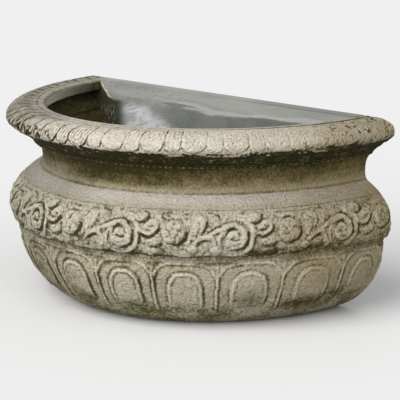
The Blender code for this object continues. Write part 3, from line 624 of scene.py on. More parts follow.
def rosette(x, y):
    """A flower in a ring: petals round a button, more worn on one side."""
    spot = frieze.window(np.array([(x, y), (x, y)]), ROSETTE_REACH + 7.0)
    dx, dy = frieze.hand_x[spot] - x, frieze.hand_y[spot] - y
    away, bearing = np.hypot(dx, dy), np.arctan2(dy, dx)
    petal = np.abs(np.cos(2.5 * bearing + 0.12 * away + 0.5 * np.cos(bearing - x)))
    dish = np.sqrt(ramp(1 - (away / ROSETTE_REACH) ** 4))
    painted_wet_reflection = DISH_RELIEF + PETAL_RELIEF * petal ** 0.6 * ramp(1 - ((away - 10.0) / 8.5) ** 2)
    button = BUTTON_RELIEF * np.sqrt(ramp(1 - (away / BUTTON_REACH) ** 2))
    on_flower = away < ROSETTE_REACH
    frieze.relief[spot] = np.where(on_flower, np.maximum(painted_wet_reflection * dish, button), frieze.relief[spot])
    slots = 0.75 * (1 - petal) ** 2.5 * ramp(1 - ((away - 9.5) / 6.0) ** 2)
    moat = hill(away - 5.8, 1.2) * 0.6
    frieze.soil[spot] = np.where(on_flower, np.maximum(slots, moat), frieze.soil[spot])
    frieze.wear[spot] = np.where(on_flower, 0.8 * petal * dish, frieze.wear[spot])


# One repeat of the scroll, in mm from the middle of its volute, and height in mm.
# First come swellings, each with its relief and the width of its rounded edge.
SCROLL_FORMS = [
    ([(-60, 138), (-60.5, 148), (-58, 158), (-52, 165), (-44, 165), (-37, 160), (-39, 150), (-45, 142),
      (-52, 135)], 1.9, 8.0),
    ([(-16, 147), (-8, 155.5), (2, 157), (11, 153), (16, 145), (16.5, 135), (12, 125), (2, 121), (-8, 122.5),
      (-15, 129), (-18, 138)], 2.0, 6.0),
    ([(14, 160.5), (18.5, 165.5), (27, 168.6), (35, 166.4), (37, 161.5), (32.5, 157), (24, 155.8),
      (17, 157)], 2.6, 6.5),
    ([(31.5, 149), (34.5, 156), (41, 160), (48, 160), (53, 156), (51.5, 150.5), (42, 147.5)], 2.5, 5.5),
    ([(35, 131), (38, 136.4), (45, 138.2), (52.5, 137), (55, 132.5), (51, 128), (43, 126.6)], 2.2, 5.0),
    ([(30, 117), (37, 122.5), (48, 123.5), (56, 119), (52, 113.5), (40, 112.5)], 1.5, 4.0),
    ([(74, 113), (79, 119), (89, 120.5), (95, 116), (90, 111)], 1.6, 4.0),
    ([(-65, 122), (-62, 128), (-55, 128), (-51, 123), (-55, 118), (-62, 118)], 2.1, 4.0),
    ([(-35, 118), (-32, 126), (-24, 127.5), (-18, 122), (-21, 116), (-29, 114)], 2.3, 4.5),
    ([(2, 161), (4, 165.5), (13, 166.5), (18, 163.5), (12, 161)], 1.2, 3.0),
    ([(60, 161), (66, 165), (80, 165.5), (88, 162.5), (76, 161.5)], 1.2, 3.0),
]

# Then the rounded bands that wind and lap over them: line, width, relief and taper.
SCROLL_BANDS = [
    ([(-3, 154), (-11, 152.3), (-19, 149.2), (-27, 145.8), (-34, 142.5)], 8.0, 2.9, 0.5),
    ([(-10, 152.5), (-2, 154.2), (5, 152.2), (10.3, 147.5), (12.2, 140.5), (10.8, 133), (6, 127.5),
      (-1, 125.7), (-7, 128), (-10.2, 133)], 7.6, 3.5, 0.75),
    ([(-33, 139.5), (-40, 140), (-48, 137), (-54.5, 131)], 7.6, 2.4, 0.6),
    ([(-34, 140), (-29, 134), (-25.5, 126)], 6.0, 2.2, 0.8),
    ([(10, 160.5), (17, 156.5), (22, 150), (23, 140), (21.5, 130), (17, 121.5), (9.5, 116), (0, 113.8),
      (-10, 115.8), (-18, 121.5), (-21.8, 130), (-21, 140), (-16.5, 147.5)], 7.4, 2.4, 0.5),
    ([(22.5, 152), (25.5, 147.3), (31, 144), (38, 142.6), (45, 145), (50.5, 151.5)], 7.4, 3.3, 0.85),
    ([(-7, 139.5), (-4, 142.8), (0.5, 142.6), (3.2, 139)], 6.4, 3.3, 0.85),
    ([(-5, 131.6), (1, 131.2), (6.4, 134), (9.4, 139)], 5.0, 3.2, 0.8),
    ([(95, 160), (93.8, 149), (95, 138), (93, 130)], 4.6, 1.7, 0.8),
]

# Grooves are cut last: the line that they follow, their width, depth and dirt.
SCROLL_GROOVES = [
    ([(-35, 146), (-29, 149.8), (-22, 153.4), (-14, 156.6), (-5, 158.6), (3, 158.2), (9, 155.4),
      (13.5, 151)], 2.7, 2.0, 1.0),
    ([(-12, 139.5), (-11.2, 144), (-7, 147.8), (-1, 148.8), (4, 146.6)], 3.4, 2.4, 1.0),
    ([(4, 146.6), (5.8, 142.4), (8.4, 140)], 2.2, 1.4, 0.75),
    ([(-7.5, 137), (-3, 135.6), (2.5, 135), (7, 136.6)], 2.2, 1.7, 0.9),
    ([(-6, 129), (0, 127.8), (7, 129.4)], 1.7, 0.8, 0.5),
    ([(16.2, 148.5), (17.4, 141), (16.6, 133), (13, 126), (6, 122), (-2, 121.4)], 3.0, 2.3, 1.0),
    ([(-2, 121.4), (-9, 123.2), (-14, 128.5), (-15.4, 136), (-13.5, 142)], 2.1, 1.3, 0.65),
    ([(-17, 115), (-8, 110.6), (2, 109.6), (12, 111.8), (20, 118)], 3.0, 1.6, 1.0),
    ([(-52, 129.5), (-48, 132.4), (-41, 134.6), (-35, 133.5)], 2.8, 1.8, 0.95),
    ([(-61.5, 161), (-62.5, 151), (-61.5, 141)], 2.0, 1.2, 0.5),
    ([(-36, 162), (-40, 150.5), (-46.5, 142.5)], 2.2, 1.4, 0.55),
    ([(-51, 161), (-47.5, 154), (-49, 146), (-54, 138.5)], 2.0, 1.1, 0.5),
    ([(-35.5, 168), (-28.5, 167.3), (-22.5, 165.2), (-20, 162)], 2.6, 1.7, 1.0),
    ([(28.5, 141), (33, 138.8), (39, 137.8), (45, 140), (50.5, 145), (53, 151.5)], 3.6, 2.4, 1.0),
    ([(38.5, 152.4), (42.5, 151.2), (46.5, 152.2)], 2.0, 1.2, 0.8),
    ([(36, 168), (39, 163.5), (37, 158.8), (31, 155.8), (25.5, 154.6)], 2.8, 2.0, 0.95),
    ([(27, 137), (28, 132), (32, 127.5)], 4.4, 1.8, 0.9),
    ([(36, 126), (45, 124.6), (53, 126.5), (58, 132)], 3.0, 1.7, 0.85),
    ([(57, 146), (58.6, 138), (63.5, 131.6), (71, 128.4)], 2.2, 1.6, 0.8),
    ([(71, 128.4), (79, 128.8), (86.5, 133.5), (91, 140), (91.8, 147)], 3.8, 2.3, 1.0),
    ([(60, 154.5), (66, 158.8), (74, 161), (82, 159.4), (88, 155)], 2.0, 1.4, 0.75),
    ([(54.5, 165), (57.5, 161.3), (62, 160.5)], 2.6, 1.7, 0.9),
    ([(53, 167), (66, 167.5), (82, 166.6), (101, 167.4)], 1.8, 0.9, 0.6),
    ([(-28, 167.3), (-10, 166.3), (10, 167)], 1.8, 0.6, 0.4),
]

# Dark stains below the carving: mm along, height, reach along, reach up, and strength.
FOOT_STAINS = [(785, 0.117, 20, 6, 0.90), (864, 0.119, 28, 6, 0.85), (826, 0.113, 26, 3, 0.65),
               (612, 0.113, 34, 3, 0.45)]

for index in range(-1, SCROLLS + 1):
    middle = FIRST_VOLUTE + index * frieze.length / SCROLL_BAYS
    for outline, height, shoulder in SCROLL_FORMS:
        frieze.raise_form(looped(frieze.marked(middle, outline)), height, shoulder)
    for line, width, height, taper in SCROLL_BANDS:
        frieze.raise_ridge(flowing(frieze.marked(middle, line), 5), width, height, taper)
    rosette(middle + ROSETTE_ALONG, frieze.up_at(ROSETTE_Z))
    for line, width, depth, soil in SCROLL_GROOVES:
        frieze.cut_groove(flowing(frieze.marked(middle, line), 5), width, depth, soil)

ledge = hill(frieze.above(LEDGE_UNDER_Z), 1.6)
frieze.lay_on(relief=1.3 * ledge * (0.5 + frieze.clouds(17.0, 24)))
over_foot = frieze.above(FOOT_DIRT_Z)
crusty = 0.5 + 0.8 * frieze.clouds(15.0, 25) + 0.5 * frieze.clouds(6.0, 26)
foot_dirt = ramp(1.0 - over_foot / 24.0)
frieze.lay_on(soil=np.clip(1.1 * foot_dirt - 0.75 * crusty, 0.0, 0.7))
frieze.soil = 0.90 * frieze.soil + 0.12 * ramp(1.0 - frieze.relief / 1.1) * (over_foot > 8.0)
frieze.soil += ramp(0.04 + 0.24 * frieze.clouds(8.0, 29) + 0.12 * frieze.clouds(30.0, 30))
frieze.soil *= 1.0 - 0.25 * frieze.right_of(FRIEZE_CLEAN_FROM, 60.0)
frieze.algae = 0.35 * foot_dirt
for *place, share in FOOT_STAINS:
    stain = share * frieze.spot(*place)
    frieze.soil += stain * (0.8 + 0.6 * frieze.clouds(4.0, 62))
    frieze.lay_on(algae=0.6 * stain)
frieze.wear = (0.26 + 0.34 * frieze.wear) * ramp(1.2 - 1.1 * foot_dirt)
frieze.wear += 0.8 * foot_dirt * np.clip(crusty - 0.5, 0.0, 0.6) * (over_foot > 0)
chips = ramp(1.7 * frieze.clouds(3.2, 27) + 0.8 * frieze.clouds(11.0, 28) - 1.0)
chips *= np.clip(1.35 - over_foot / 30.0, 0.30, 1.0)
frieze.relief += 0.7 * chips
frieze.soil *= 1.0 - chips

# Under the dark line the wall lies back, down to the groove that the bowl shares.
foot_line = frieze.above(DARK_LINE_Z) - 0.7 * frieze.clouds(22.0, 40)
recess = ramp(-foot_line / 1.2) * ramp(frieze.y / 3.0 - 1.0)
frieze.relief = frieze.relief * (1.0 - recess) - 2.0 * recess
frieze.soil = frieze.soil * (1.0 - recess) + 0.42 * recess
frieze.wear *= 1.0 - 0.7 * recess
frieze.weather(lump=0.35, grit=0.50, seed=21)
frieze.soil = np.where((recess > 0.5) | (frieze.y < 6.0), np.minimum(frieze.soil, 0.42), frieze.soil)
line_share = np.clip(0.88 + 0.5 * frieze.clouds(26.0, 61), 0.50, 1.1)
frieze.lay_on(soil=1.5 * line_share * hill(foot_line + 0.8, 2.0), wear=1.2 * chips)
frieze_piece = swept_course("frieze", frieze, inner_wall(BOWL_TOP, FRIEZE_TOP))
FRIEZE_BODY = tone(192, 186, 168)
frieze_stone = weathered_stone("frieze_stone", FRIEZE_BODY, STONE_BLEACHED_AND_HIGHLIGHT, STONE_GRIME_AND_SHADE,
                               brown=0.60, crumbs=0.9, ragged=1.0)
paint(frieze_piece, frieze_stone)
frieze_nodes = ("frieze_wall", "rosette", "volute_scroll", "frieze_leaf")
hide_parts(*[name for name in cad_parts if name.startswith(frieze_nodes)])


# Neck: the falling shoulder and the cove above it, cast in one with the courses below.
# It is plain, bleached on the shoulder and stained brown in the cove, where the rim
# keeps the rain off; painted shade of the rim's overhang darkens the cove towards the top.
NECK_HALF, SHOULDER_TOP, NECK_TOP = 0.249, 0.187, 0.2285
COVE_FLARE = 0.016
SHOULDER_SHARES = [(0.22, 0.84), (0.50, 0.58), (0.78, 0.30), (1.0, 0.12)]
COVE_SHARES = [(0.15, 0.02), (0.37, 0.0), (0.60, 0.10), (0.76, 0.30), (0.90, 0.62), (1.0, 1.0)]

# Places in mm where the neck is darkest, cleaner on both sides of that, and crumbling.
NECK_DARKEST, NECK_CLEAN_TO, NECK_CLEAN_FROM, NECK_CRUMBLED_TO = 500.0, 440.0, 560.0, 600.0

neck_foot = frieze.profile[-1]
neck_run = neck_foot[0] - NECK_HALF
neck_line = [tuple(neck_foot)]
neck_line += [(NECK_HALF + neck_run * out, FRIEZE_TOP + (SHOULDER_TOP - FRIEZE_TOP) * rise)
              for rise, out in SHOULDER_SHARES]
neck_line += [(NECK_HALF + COVE_FLARE * out, SHOULDER_TOP + (NECK_TOP - SHOULDER_TOP) * rise)
              for rise, out in COVE_SHARES]
neck = Band(flowing(neck_line, 6), step_along=2.1, step_up=1.7, face_half=NECK_HALF)
step_up = neck.above(SHOULDER_TOP)
neck.relief += 0.5 * ramp(0.5 - step_up / 5.0)
# Painted shade under the rim's overhang, growing up the cove, laid in with the stain.
shade = ramp(step_up / 36.0) ** 0.8
shade += 0.22 * neck.clouds(60.0, 33) + 0.12 * neck.clouds(14.0, 34)
streaks = neck.clouds(9.0, 35, along=0.2, up=2.0) + 0.6 * neck.clouds(30.0, 36)
neck.soil = 0.31 + 0.14 * hill(neck.x - NECK_DARKEST, 90.0) + 0.60 * shade + 0.08 * streaks
neck.soil -= 0.20 * neck.right_of(NECK_CLEAN_FROM, 160.0)
neck.soil -= 0.12 * neck.left_of(NECK_CLEAN_TO, 80.0)
neck.soil = ramp(neck.soil) * ramp((step_up + 8.0) / 22.0)
neck.dull *= 1.7
# Dirt and painted shade in the crease at the top of the shoulder.
neck.lay_on(soil=(0.60 + 0.16 * streaks) * hill(step_up - 1.0, 2.0))
neck.relief -= 0.5 * hill(step_up - 1.0, 1.6)
low_edge = ramp(1.0 - neck.y / 26.0)
neck.soil += low_edge * ramp(0.16 + 0.14 * streaks + 0.25 * neck.clouds(6.0, 37))
crumbling = 1.4 * neck.clouds(15.0, 38) + 1.2 * neck.clouds(4.5, 39) + 0.25
crumbling *= ramp((step_up - 14.0) / 14.0) * neck.left_of(NECK_CRUMBLED_TO, 140.0)
neck.lay_on(soil=0.95 * ramp(crumbling))
neck.wear = np.clip((9.0 - step_up) / 16.0, 0.0, 1.2) - 0.8 * low_edge - 0.10 * streaks
neck.wear = ramp(neck.wear)
neck.algae = 0.40 * ramp((step_up - 6.0) / 30.0)
neck.weather(lump=0.30, grit=0.14, seed=31)
neck_piece = swept_course("neck", neck, inner_wall(FRIEZE_TOP, NECK_TOP))
NECK_BODY, NECK_BLEACHED_AND_HIGHLIGHT, NECK_GRIME_AND_SHADE = tone(164, 153, 120), tone(236, 231, 223), tone(56, 51, 22)
neck_stone = weathered_stone("neck_stone", NECK_BODY, NECK_BLEACHED_AND_HIGHLIGHT, NECK_GRIME_AND_SHADE,
                             brown=0.7, crumbs=0.3, ragged=0.5)
paint(neck_piece, neck_stone)
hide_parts("neck_wall")


# Rim: the overhanging roll at the top of the casting, with its flat band and square inner
# lip. Leaves hang over the roll, broad and narrow by turns, with rows of veins that sweep
# back to the lip.
ROLL_HALF, ROLL_REACH, ROLL_HALF_HEIGHT = 0.2978, 0.030, 0.018
ROLL_Z = RIM_TOP - ROLL_HALF_HEIGHT
TOP_CLEAR = 0.0006
LIP_HALF, LIP_ROUND, LIP_LOW_ROUND, LIP_TURN_IN = 0.2457, 0.0022, 0.0014, 0.006
HOLLOW_DROP = 0.0012
LEAVES, LEAF_TIP_Z, LEAF_SWEEP = 18, 0.2508, 26.0
BROAD_HALF, BROAD_ROUND, BROAD_VEINS = 16.9, 12.5, 3.0
NARROW_HALF, NARROW_ROUND, NARROW_VEINS = 10.8, 8.5, 2.0

# Crusts of lichen that hang under the tips: mm along, and their reach.
CRUSTS = [(663, 18), (747, 20), (797, 9), (862, 18), (520, 30), (420, 20)]

# Places in mm up to which the leaves are crisp, their veins sharp and their sweep seen, and
# between which their foot crumbles. The roll is worn from one place, ragged from the next,
# then lumpy, and dull at the end.
CRISP_TO, SHARP_TO, SWEPT_TO = 500.0, 510.0, 660.0
CRUMBLED_FROM, CRUMBLED_TO = 220.0, 505.0
WORN_FROM, RAGGED_FROM, LUMPY_FROM, DULL_FROM = 700.0, 760.0, 806.0, 861.0

# The leaves fade slowly towards a place, and their outlines towards one past the end, so
# both are still seen a little. The lip's dark line lies below its outer edge, and its
# bleached edge above that line.
LEAVES_GONE_AT, OUTLINES_GONE_AT, LEAF_FADE, LEAST_KEPT = 936.0, 1056.0, 480.0, 0.15
LIP_LINE_DROP, BLEACHED_EDGE_RISE = 8.0, 5.2

turn = np.linspace(math.radians(-62), math.radians(90), 300)
top_z = RIM_TOP - TOP_CLEAR
roll_line = np.stack([ROLL_HALF - ROLL_REACH * (1 - np.cos(turn)),
                      ROLL_Z + (ROLL_HALF_HEIGHT - TOP_CLEAR) * np.sin(turn)], 1)
corner = np.linspace(0.0, math.pi / 2, 8)
lip_corner = np.stack([LIP_HALF + LIP_ROUND * (1 - np.sin(corner)),
                       top_z - LIP_ROUND * (1 - np.cos(corner))], 1)
low_corner = np.stack([LIP_HALF + LIP_LOW_ROUND * (1 - np.cos(corner)),
                       LIP_LOW + LIP_LOW_ROUND * (1 - np.sin(corner))], 1)
lip_end = [(LIP_HALF + LIP_TURN_IN, LIP_LOW)]
rim_line = np.vstack([neck.profile[-1:], roll_line, lip_corner, low_corner, lip_end])
rim = Band(rim_line, step_along=1.05, step_up=1.0, face_half=HALF_WIDTH)

# Places up the band: the leaf tips, the start of the flat top, and the lip's outer edge.
outer = int(np.argmax(rim.profile[:, 0]))
tip_up = np.interp(LEAF_TIP_Z, rim.profile[:outer, 1], rim.up[:outer])
top_start, edge_up = (rim.up[np.searchsorted(-rim.profile[outer:, 0], -half) + outer]
                      for half in (ROLL_HALF - ROLL_REACH, LIP_HALF + LIP_ROUND))
rise = rim.y - tip_up

# Which leaf a point lies on, how far across and up it, and where the leaf's tip ends.
leaf_pitch = rim.length / LEAVES
swept = LEAF_SWEEP * np.clip((rise - 10.0) / 52.0, 0.0, 1.2) ** 1.6 * rim.left_of(SWEPT_TO, 160.0)
swept += 1.1 * rim.clouds(8.0, 55)
place = (rim.x - swept + leaf_pitch / 2) % leaf_pitch - leaf_pitch / 2
in_narrow = np.abs(place) < NARROW_HALF
across = np.where(in_narrow, place, np.abs(place) - leaf_pitch / 2)
half = np.where(in_narrow, NARROW_HALF, BROAD_HALF)
round_up = np.where(in_narrow, NARROW_ROUND, BROAD_ROUND)
nest = np.hypot(across / half, np.clip(1 - rise / round_up, 0.0, None)) + 0.05 * rim.clouds(6.0, 56)
tips = round_up * (1 - np.sqrt(ramp(1 - (across / half) ** 2))) + 1.3 * rim.clouds(5.0, 42)
on_leaf = rise > tips

# Veins and a sunk margin, crisp at the left and worn away towards the right.
fade = ramp((edge_up - 7.0 - rim.y) / 12.0)
veins = np.where(in_narrow, NARROW_VEINS, BROAD_VEINS)
vein = 0.5 - 0.5 * np.cos(2 * math.pi * ramp(nest) * veins)
kept = np.maximum(rim.left_of(LEAVES_GONE_AT, LEAF_FADE), LEAST_KEPT)
crisp = 0.62 + 0.9 * rim.clouds(48.0, 43) + 1.1 * rim.left_of(SHARP_TO, 300.0)
crisp = np.clip(crisp, 0.05, 1.0) * fade * kept
outlined = np.maximum(rim.left_of(OUTLINES_GONE_AT, LEAF_FADE), LEAST_KEPT) * fade
at_left = rim.left_of(CRISP_TO, 110.0)
low = np.clip(1.15 - (rise - 3.0) / 22.0, 0.48 + 0.52 * at_left, 1.0)
leaf = 0.8 + (1.0 + 0.3 * at_left) * vein * crisp + (0.35 + 0.5 * at_left) * (1 - nest ** 2) * kept
margin = hill(1 - nest, 0.11 + 0.06 * at_left)
rim.relief = on_leaf * (leaf - 0.9 * margin * fade * low)
rim.soil = on_leaf * (0.85 * (1 - vein) ** 2 * crisp + (0.55 + 0.25 * at_left) * margin * low * outlined)
rim.wear = on_leaf * (0.80 + 0.15 * vein)

# Dirty cusps between the tips, and the undercut below them with its slime, painted shade and crusts.
tip_gap = np.abs(rise - tips)
cusp = hill(tip_gap, 1.4) * ramp((rise - 1.0) / 4.0)
cusp *= ramp(1.6 - rise / 11.0)
cusp *= (0.3 + 0.7 * kept) * np.clip(0.75 + 0.7 * rim.clouds(21.0, 44), 0.1, 1.0)
rim.lay_on(soil=1.15 * cusp)
rim.relief -= 1.8 * cusp
behind = (~on_leaf) & (rise > -1.0)
rim.relief = np.where(behind, 0.5, rim.relief)
rim.wear = np.where(behind & (tip_gap > 1.2), 0.65, rim.wear)
uneven = 1.6 * rim.clouds(11.0, 51) + 1.6 * rim.clouds(4.0, 52)
uneven *= 1.0 + 1.6 * rim.right_of(RAGGED_FROM, 80.0)
to_right = rim.right_of(WORN_FROM, 110.0)
undercut = ramp(-(rise + 0.4 + uneven - 5.5 * to_right) / (3.2 + 6.0 * to_right))
crust = rim.clouds(13.0, 45) + rim.clouds(3.0, 46) * 1.3 - 0.95
for x, across in CRUSTS:
    crust += hill(rim.x - x, across)
crust = ramp(crust * 2.2) * ramp(1.5 - np.abs(rise + 2.5) / 8.0)
# Slime and painted shade under the roll, kept very dark.
slime_and_shade = 1.02 + 0.24 * rim.clouds(10.0, 53) + 0.24 * rim.clouds(3.5, 54)
rim.lay_on(soil=undercut * (slime_and_shade - 0.80 * crust), wear=0.8 * undercut * crust)
rim.relief += undercut * (1.2 * crust - 0.8)

# A dark line along the lip, its bleached edge, and the green face inside.
lip_line = rim.y - (edge_up - LIP_LINE_DROP)
rim.relief -= 0.7 * hill(lip_line, 1.0)
rim.lay_on(soil=(0.5 + 0.5 * to_right) * hill(lip_line, 2.0 + 1.6 * to_right))
from_edge = lip_line - BLEACHED_EDGE_RISE
rim.lay_on(wear=np.exp(-(from_edge / 3.0) ** 4))
rim.soil *= 1.0 - 0.9 * np.exp(-(from_edge / 2.8) ** 4)
lip_face = ramp((rim.y - edge_up - 3.0) / 2.0)
from_end = np.minimum(rim.x, rim.length - rim.x)
toward_back = ramp(1.0 - from_end / 140.0)
lip_streaks = 0.5 + 0.5 * rim.clouds(5.0, 47, up=0.0)
rim.lay_on(soil=lip_face * (0.50 * toward_back + 0.14 * lip_streaks))
# The lip's inner face is bleached and lifted with painted light, less towards the back.
rim.wear = np.where(lip_face > 0, 0.9 * (1 - 0.7 * toward_back), rim.wear)
rim.dull = 0.58 * rim.left_of(DULL_UP_TO, 60.0) + 0.35 * rim.right_of(DULL_FROM, 70.0)
rim.dull *= 1 - lip_face
rim.algae = lip_face * np.clip(1.5 - from_end / 130.0, 0.0, 1.25) + 0.25 * undercut * (1.0 - crust)

# The right end is worn to lumps and pits, and the left leaves crumble near their tips.
worn_end = rim.right_of(LUMPY_FROM, 130.0)
pitted = 0.7 * rim.clouds(6.0, 48) + 1.1 * rim.clouds(2.6, 49) - 0.25
pitted = ramp(1.6 * pitted) * worn_end
lumps = rim.clouds(6.0, 50)
rim.lay_on(soil=0.85 * pitted, wear=worn_end * ramp(lumps + 0.4))
rim.relief += worn_end * (0.7 * lumps - 0.8 * pitted)
low_left = rim.left_of(CRUMBLED_TO, 60.0) * rim.right_of(CRUMBLED_FROM, 40.0)
low_left *= ramp(1.7 - rise / 12.0) * on_leaf
crumbly = 1.3 * rim.clouds(3.0, 57) + 0.7 * rim.clouds(8.0, 58)
rim.soil *= 1.0 - 0.5 * low_left
rim.lay_on(soil=1.3 * low_left * ramp(1.6 * crumbly + 0.3), algae=0.35 * low_left)
rim.relief -= 0.9 * low_left * np.clip(crumbly, -0.6, 1.0)
rim.dull *= 1.0 - 0.8 * low_left * (crumbly < -0.1)
tip_dirt = ramp(1.1 - rise / 7.0 + 0.6 * rim.clouds(5.0, 59))
rim.lay_on(soil=0.34 * tip_dirt * on_leaf)
rim.weather(lump=0.28, grit=0.20, seed=41)
rim.relief = np.minimum(rim.relief, np.where(rim.y > top_start - 3.0, 0.5, 1.9))
hollow = inner_wall(NECK_TOP, LIP_LOW - HOLLOW_DROP)
rim_piece = swept_course("rim", rim, [(hollow[0][0], LIP_LOW)] + hollow)
RIM_BODY, RIM_BLEACHED_AND_HIGHLIGHT, RIM_GRIME_AND_SHADE = tone(196, 188, 166), tone(246, 239, 229), tone(36, 34, 6)
rim_stone = weathered_stone("rim_stone", RIM_BODY, RIM_BLEACHED_AND_HIGHLIGHT, RIM_GRIME_AND_SHADE,
                            brown=0.55, crumbs=0.5, ragged=0.75)
paint(rim_piece, rim_stone)
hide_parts("rim_roll", "rim_leaf_band")


# Bead string: a row of small long beads on a thin fillet, pressed into the cove under the
# rim while the casting was green. Most of it lies in shade and dirt.
BEAD_PITCH, BEAD_HALF_LENGTH, BEAD_HALF_HEIGHT, BEAD_STAND, BEAD_LIFT = 8.0, 3.7, 1.8, 2.3, 0.5
BEAD_SIDES, BEAD_RINGS = 12, 5
STRING_DROP = 5.5
FILLET_STEPS = 300
FILLET_SECTION = ((-2.2, -0.6), (-1.5, 0.9), (1.5, 0.9), (2.2, -0.6))

string_up = neck.up[-1] - STRING_DROP
string_w, string_z = (np.interp(string_up, neck.up, neck.profile[:, k]) for k in (0, 1))
lean = np.array([np.interp(string_up, neck.up, np.gradient(neck.profile[:, k], neck.up)) for k in (0, 1)])
lean /= np.hypot(*lean)
away = np.array([lean[1], -lean[0]])


def on_string(along, up, out):
    """A point on the string: along the plan in metres, then up and out from its line in mm."""
    x, y = on_plan(along, string_w + (lean[0] * up + away[0] * out) * MM)
    return x, y, string_z + (lean[1] * up + away[1] * out) * MM


def tube_faces(first, rings, sides):
    """Faces of a closed tube whose points run ring by ring from the first number."""
    faces = []
    for ring in range(rings - 1):
        for side in range(sides):
            a, b = first + ring * sides + side, first + ring * sides + (side + 1) % sides
            faces.append((a, b, b + sides, a + sides))
    last = first + (rings - 1) * sides
    return faces + [tuple(range(first + sides - 1, first - 1, -1)), tuple(range(last, last + sides))]


string_points = [on_string(plan_along[-1] * step / FILLET_STEPS, up, out)
                 for step in range(FILLET_STEPS + 1) for up, out in FILLET_SECTION]
string_faces = tube_faces(0, FILLET_STEPS + 1, len(FILLET_SECTION))
on_fillet = len(string_points)
string_length = (plan_along[-1] - math.pi * (HALF_WIDTH - string_w)) / MM
bead_count = round(string_length / BEAD_PITCH)
sizes = np.random.default_rng(51).uniform(0.75, 1.08, (bead_count, 2))
stretch = plan_along[-1] / string_length
for bead in range(bead_count):
    centre = plan_along[-1] * (bead + 0.5) / bead_count
    string_faces += tube_faces(len(string_points), BEAD_RINGS, BEAD_SIDES)
    for ring in range(1, BEAD_RINGS + 1):
        lie = math.pi * ring / (BEAD_RINGS + 1)
        along = centre - math.cos(lie) * BEAD_HALF_LENGTH * sizes[bead, 0] * stretch
        for side in range(BEAD_SIDES):
            roll = math.tau * side / BEAD_SIDES
            up = math.cos(roll) * math.sin(lie) * BEAD_HALF_HEIGHT
            out = BEAD_LIFT + math.sin(roll) * math.sin(lie) * BEAD_STAND * sizes[bead, 1]
            string_points.append(on_string(along, up, out))
on_bead = np.arange(len(string_points)) >= on_fillet
string_marks = {"soil": np.where(on_bead, 0.80, 1.2), "wear": 0.05 * on_bead, "algae": 0.0 * on_bead}
string_piece = solid("bead_row", np.array(string_points), string_faces, string_marks)
paint(string_piece, rim_stone)
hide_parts("bead_string")


# Back panel and floor: flat slabs of grey cement, trowelled smooth and bonded in after the
# casting. Both keep their imported shape; rain has left a dark foot, and a pale painted reflection lies on
# the wet lower panel.
CEMENT, CEMENT_PALE, CEMENT_DARK = tone(159, 160, 154), tone(203, 205, 202), tone(98, 101, 95)
REFLECTION_WHITE, SLIME_AND_SHADOW = tone(214, 217, 218), tone(36, 37, 10)
CEMENT_DEEP = tuple(v * 0.82 for v in CEMENT)

# Only the panel's inner face, which lies between these depths from the back, is stained and takes
# the painted reflection and shadow. Then come heights of the tide line, the painted reflection, the
# slime and painted shadow, and the corner where it starts to lean, and how far the corner and the
# lime seam lie left of the middle.
FACE_FROM, FACE_TO = 0.0175, 0.0182
TIDE_Z, REFLECTION_Z = 0.2535, 0.250
SLIME_SHADOW_LOW_Z, SLIME_SHADOW_HIGH_Z, CORNER_Z = 0.244, 0.250, 0.2455
CORNER_X, SEAM_X = 0.2055, 0.222

cement, ink, shader = new_material("panel_cement")
cloud, speck = ink.mottle(0.05, 4.0, 0.6), ink.mottle(0.002, 3.0)
lay = ink.mottle(0.030, 3.0, 0.5, stretch=(0.25, 1.0, 2.2))
wash = ink.mottle(0.012, 5.0, 0.65, stretch=(0.35, 1.0, 1.6), lean=0.35)
blades = ink.mottle(0.009, 3.0, 0.6, stretch=(2.2, 1.0, 0.45), lean=-0.3)
x, y, z = ink.place("X"), ink.place("Y"), ink.place("Z")
inside = (BACK_Y - FACE_FROM - y).above(0.0, 0.0005) * (y - BACK_Y + FACE_TO).above(-0.0005, 0.0)


def near_zero(wire, reach):
    """1 where a value is near 0, falling to 0 at a reach either side of it."""
    return (reach - wire.node("Math", {"operation": "ABSOLUTE"}, {0: wire})).above(0.0, reach * 0.7)


# The tide line of old rain, a pale painted reflection of wet cement under it, then cracks and specks.
grey = ink.mixed(lay.above(0.35, 0.65), CEMENT, CEMENT_DEEP)
below_tide = TIDE_Z - z + (lay - 0.5) * 0.022 + (wash - 0.5) * 0.008 - near_zero(x - 0.01, 0.075) * 0.006
started = (x + 0.15).above(0.0, 0.07) * 0.8 + 0.2
tide = below_tide.above(0.0, 0.0035) * (0.75 + 0.25 * cloud.above(0.35, 0.65))
grey = grey.tinted((tide + near_zero(below_tide - 0.001, 0.0016) * 0.2) * started * inside, CEMENT_DARK)
grey = grey.tinted(near_zero(below_tide + 0.003, 0.004) * 0.38 * started * inside, CEMENT_PALE)
# Painted reflection: pale streaks where the panel looks wet.
painted_wet_reflection = (REFLECTION_Z - z + (cloud - 0.5) * 0.03).above(0.0, 0.012) * (x + 0.218).above(0.0, 0.024)
painted_wet_reflection = painted_wet_reflection * (0.41 - x - z * 2.2 + (cloud - 0.5) * 0.06).above(0.0, 0.06) * inside
grey = grey.tinted(painted_wet_reflection * (0.25 + wash.above(0.36, 0.62) * 0.65), REFLECTION_WHITE)
cracks = near_zero(wash - 0.5, 0.014) * (-0.04 - x).above(0.0, 0.06) * inside
grey = grey.tinted(cracks * 0.6, CEMENT_DARK)
grey = grey.tinted(speck.above(0.60, 0.70) * 0.4, CEMENT_PALE)
grey = grey.tinted((1.0 - speck).above(0.58, 0.68) * 0.4, CEMENT_DARK)
grey = grey.tinted((z - 0.2722).above(0.0, 0.001) * (x - 0.02).above(0.0, 0.08) * 0.5, CEMENT_DARK)

# Slime with the lip's painted shadow, and a lime seam in the left corner, with thin pale scratches beside
# it.
above_corner = (z - CORNER_Z).maths("MAXIMUM", z - CORNER_Z, 0.0)
past_corner = 0.0 - x - CORNER_X + (wash - 0.5) * 0.008
past_seam = 0.0 - x - SEAM_X - above_corner * 0.93 + (wash - 0.5) * 0.006
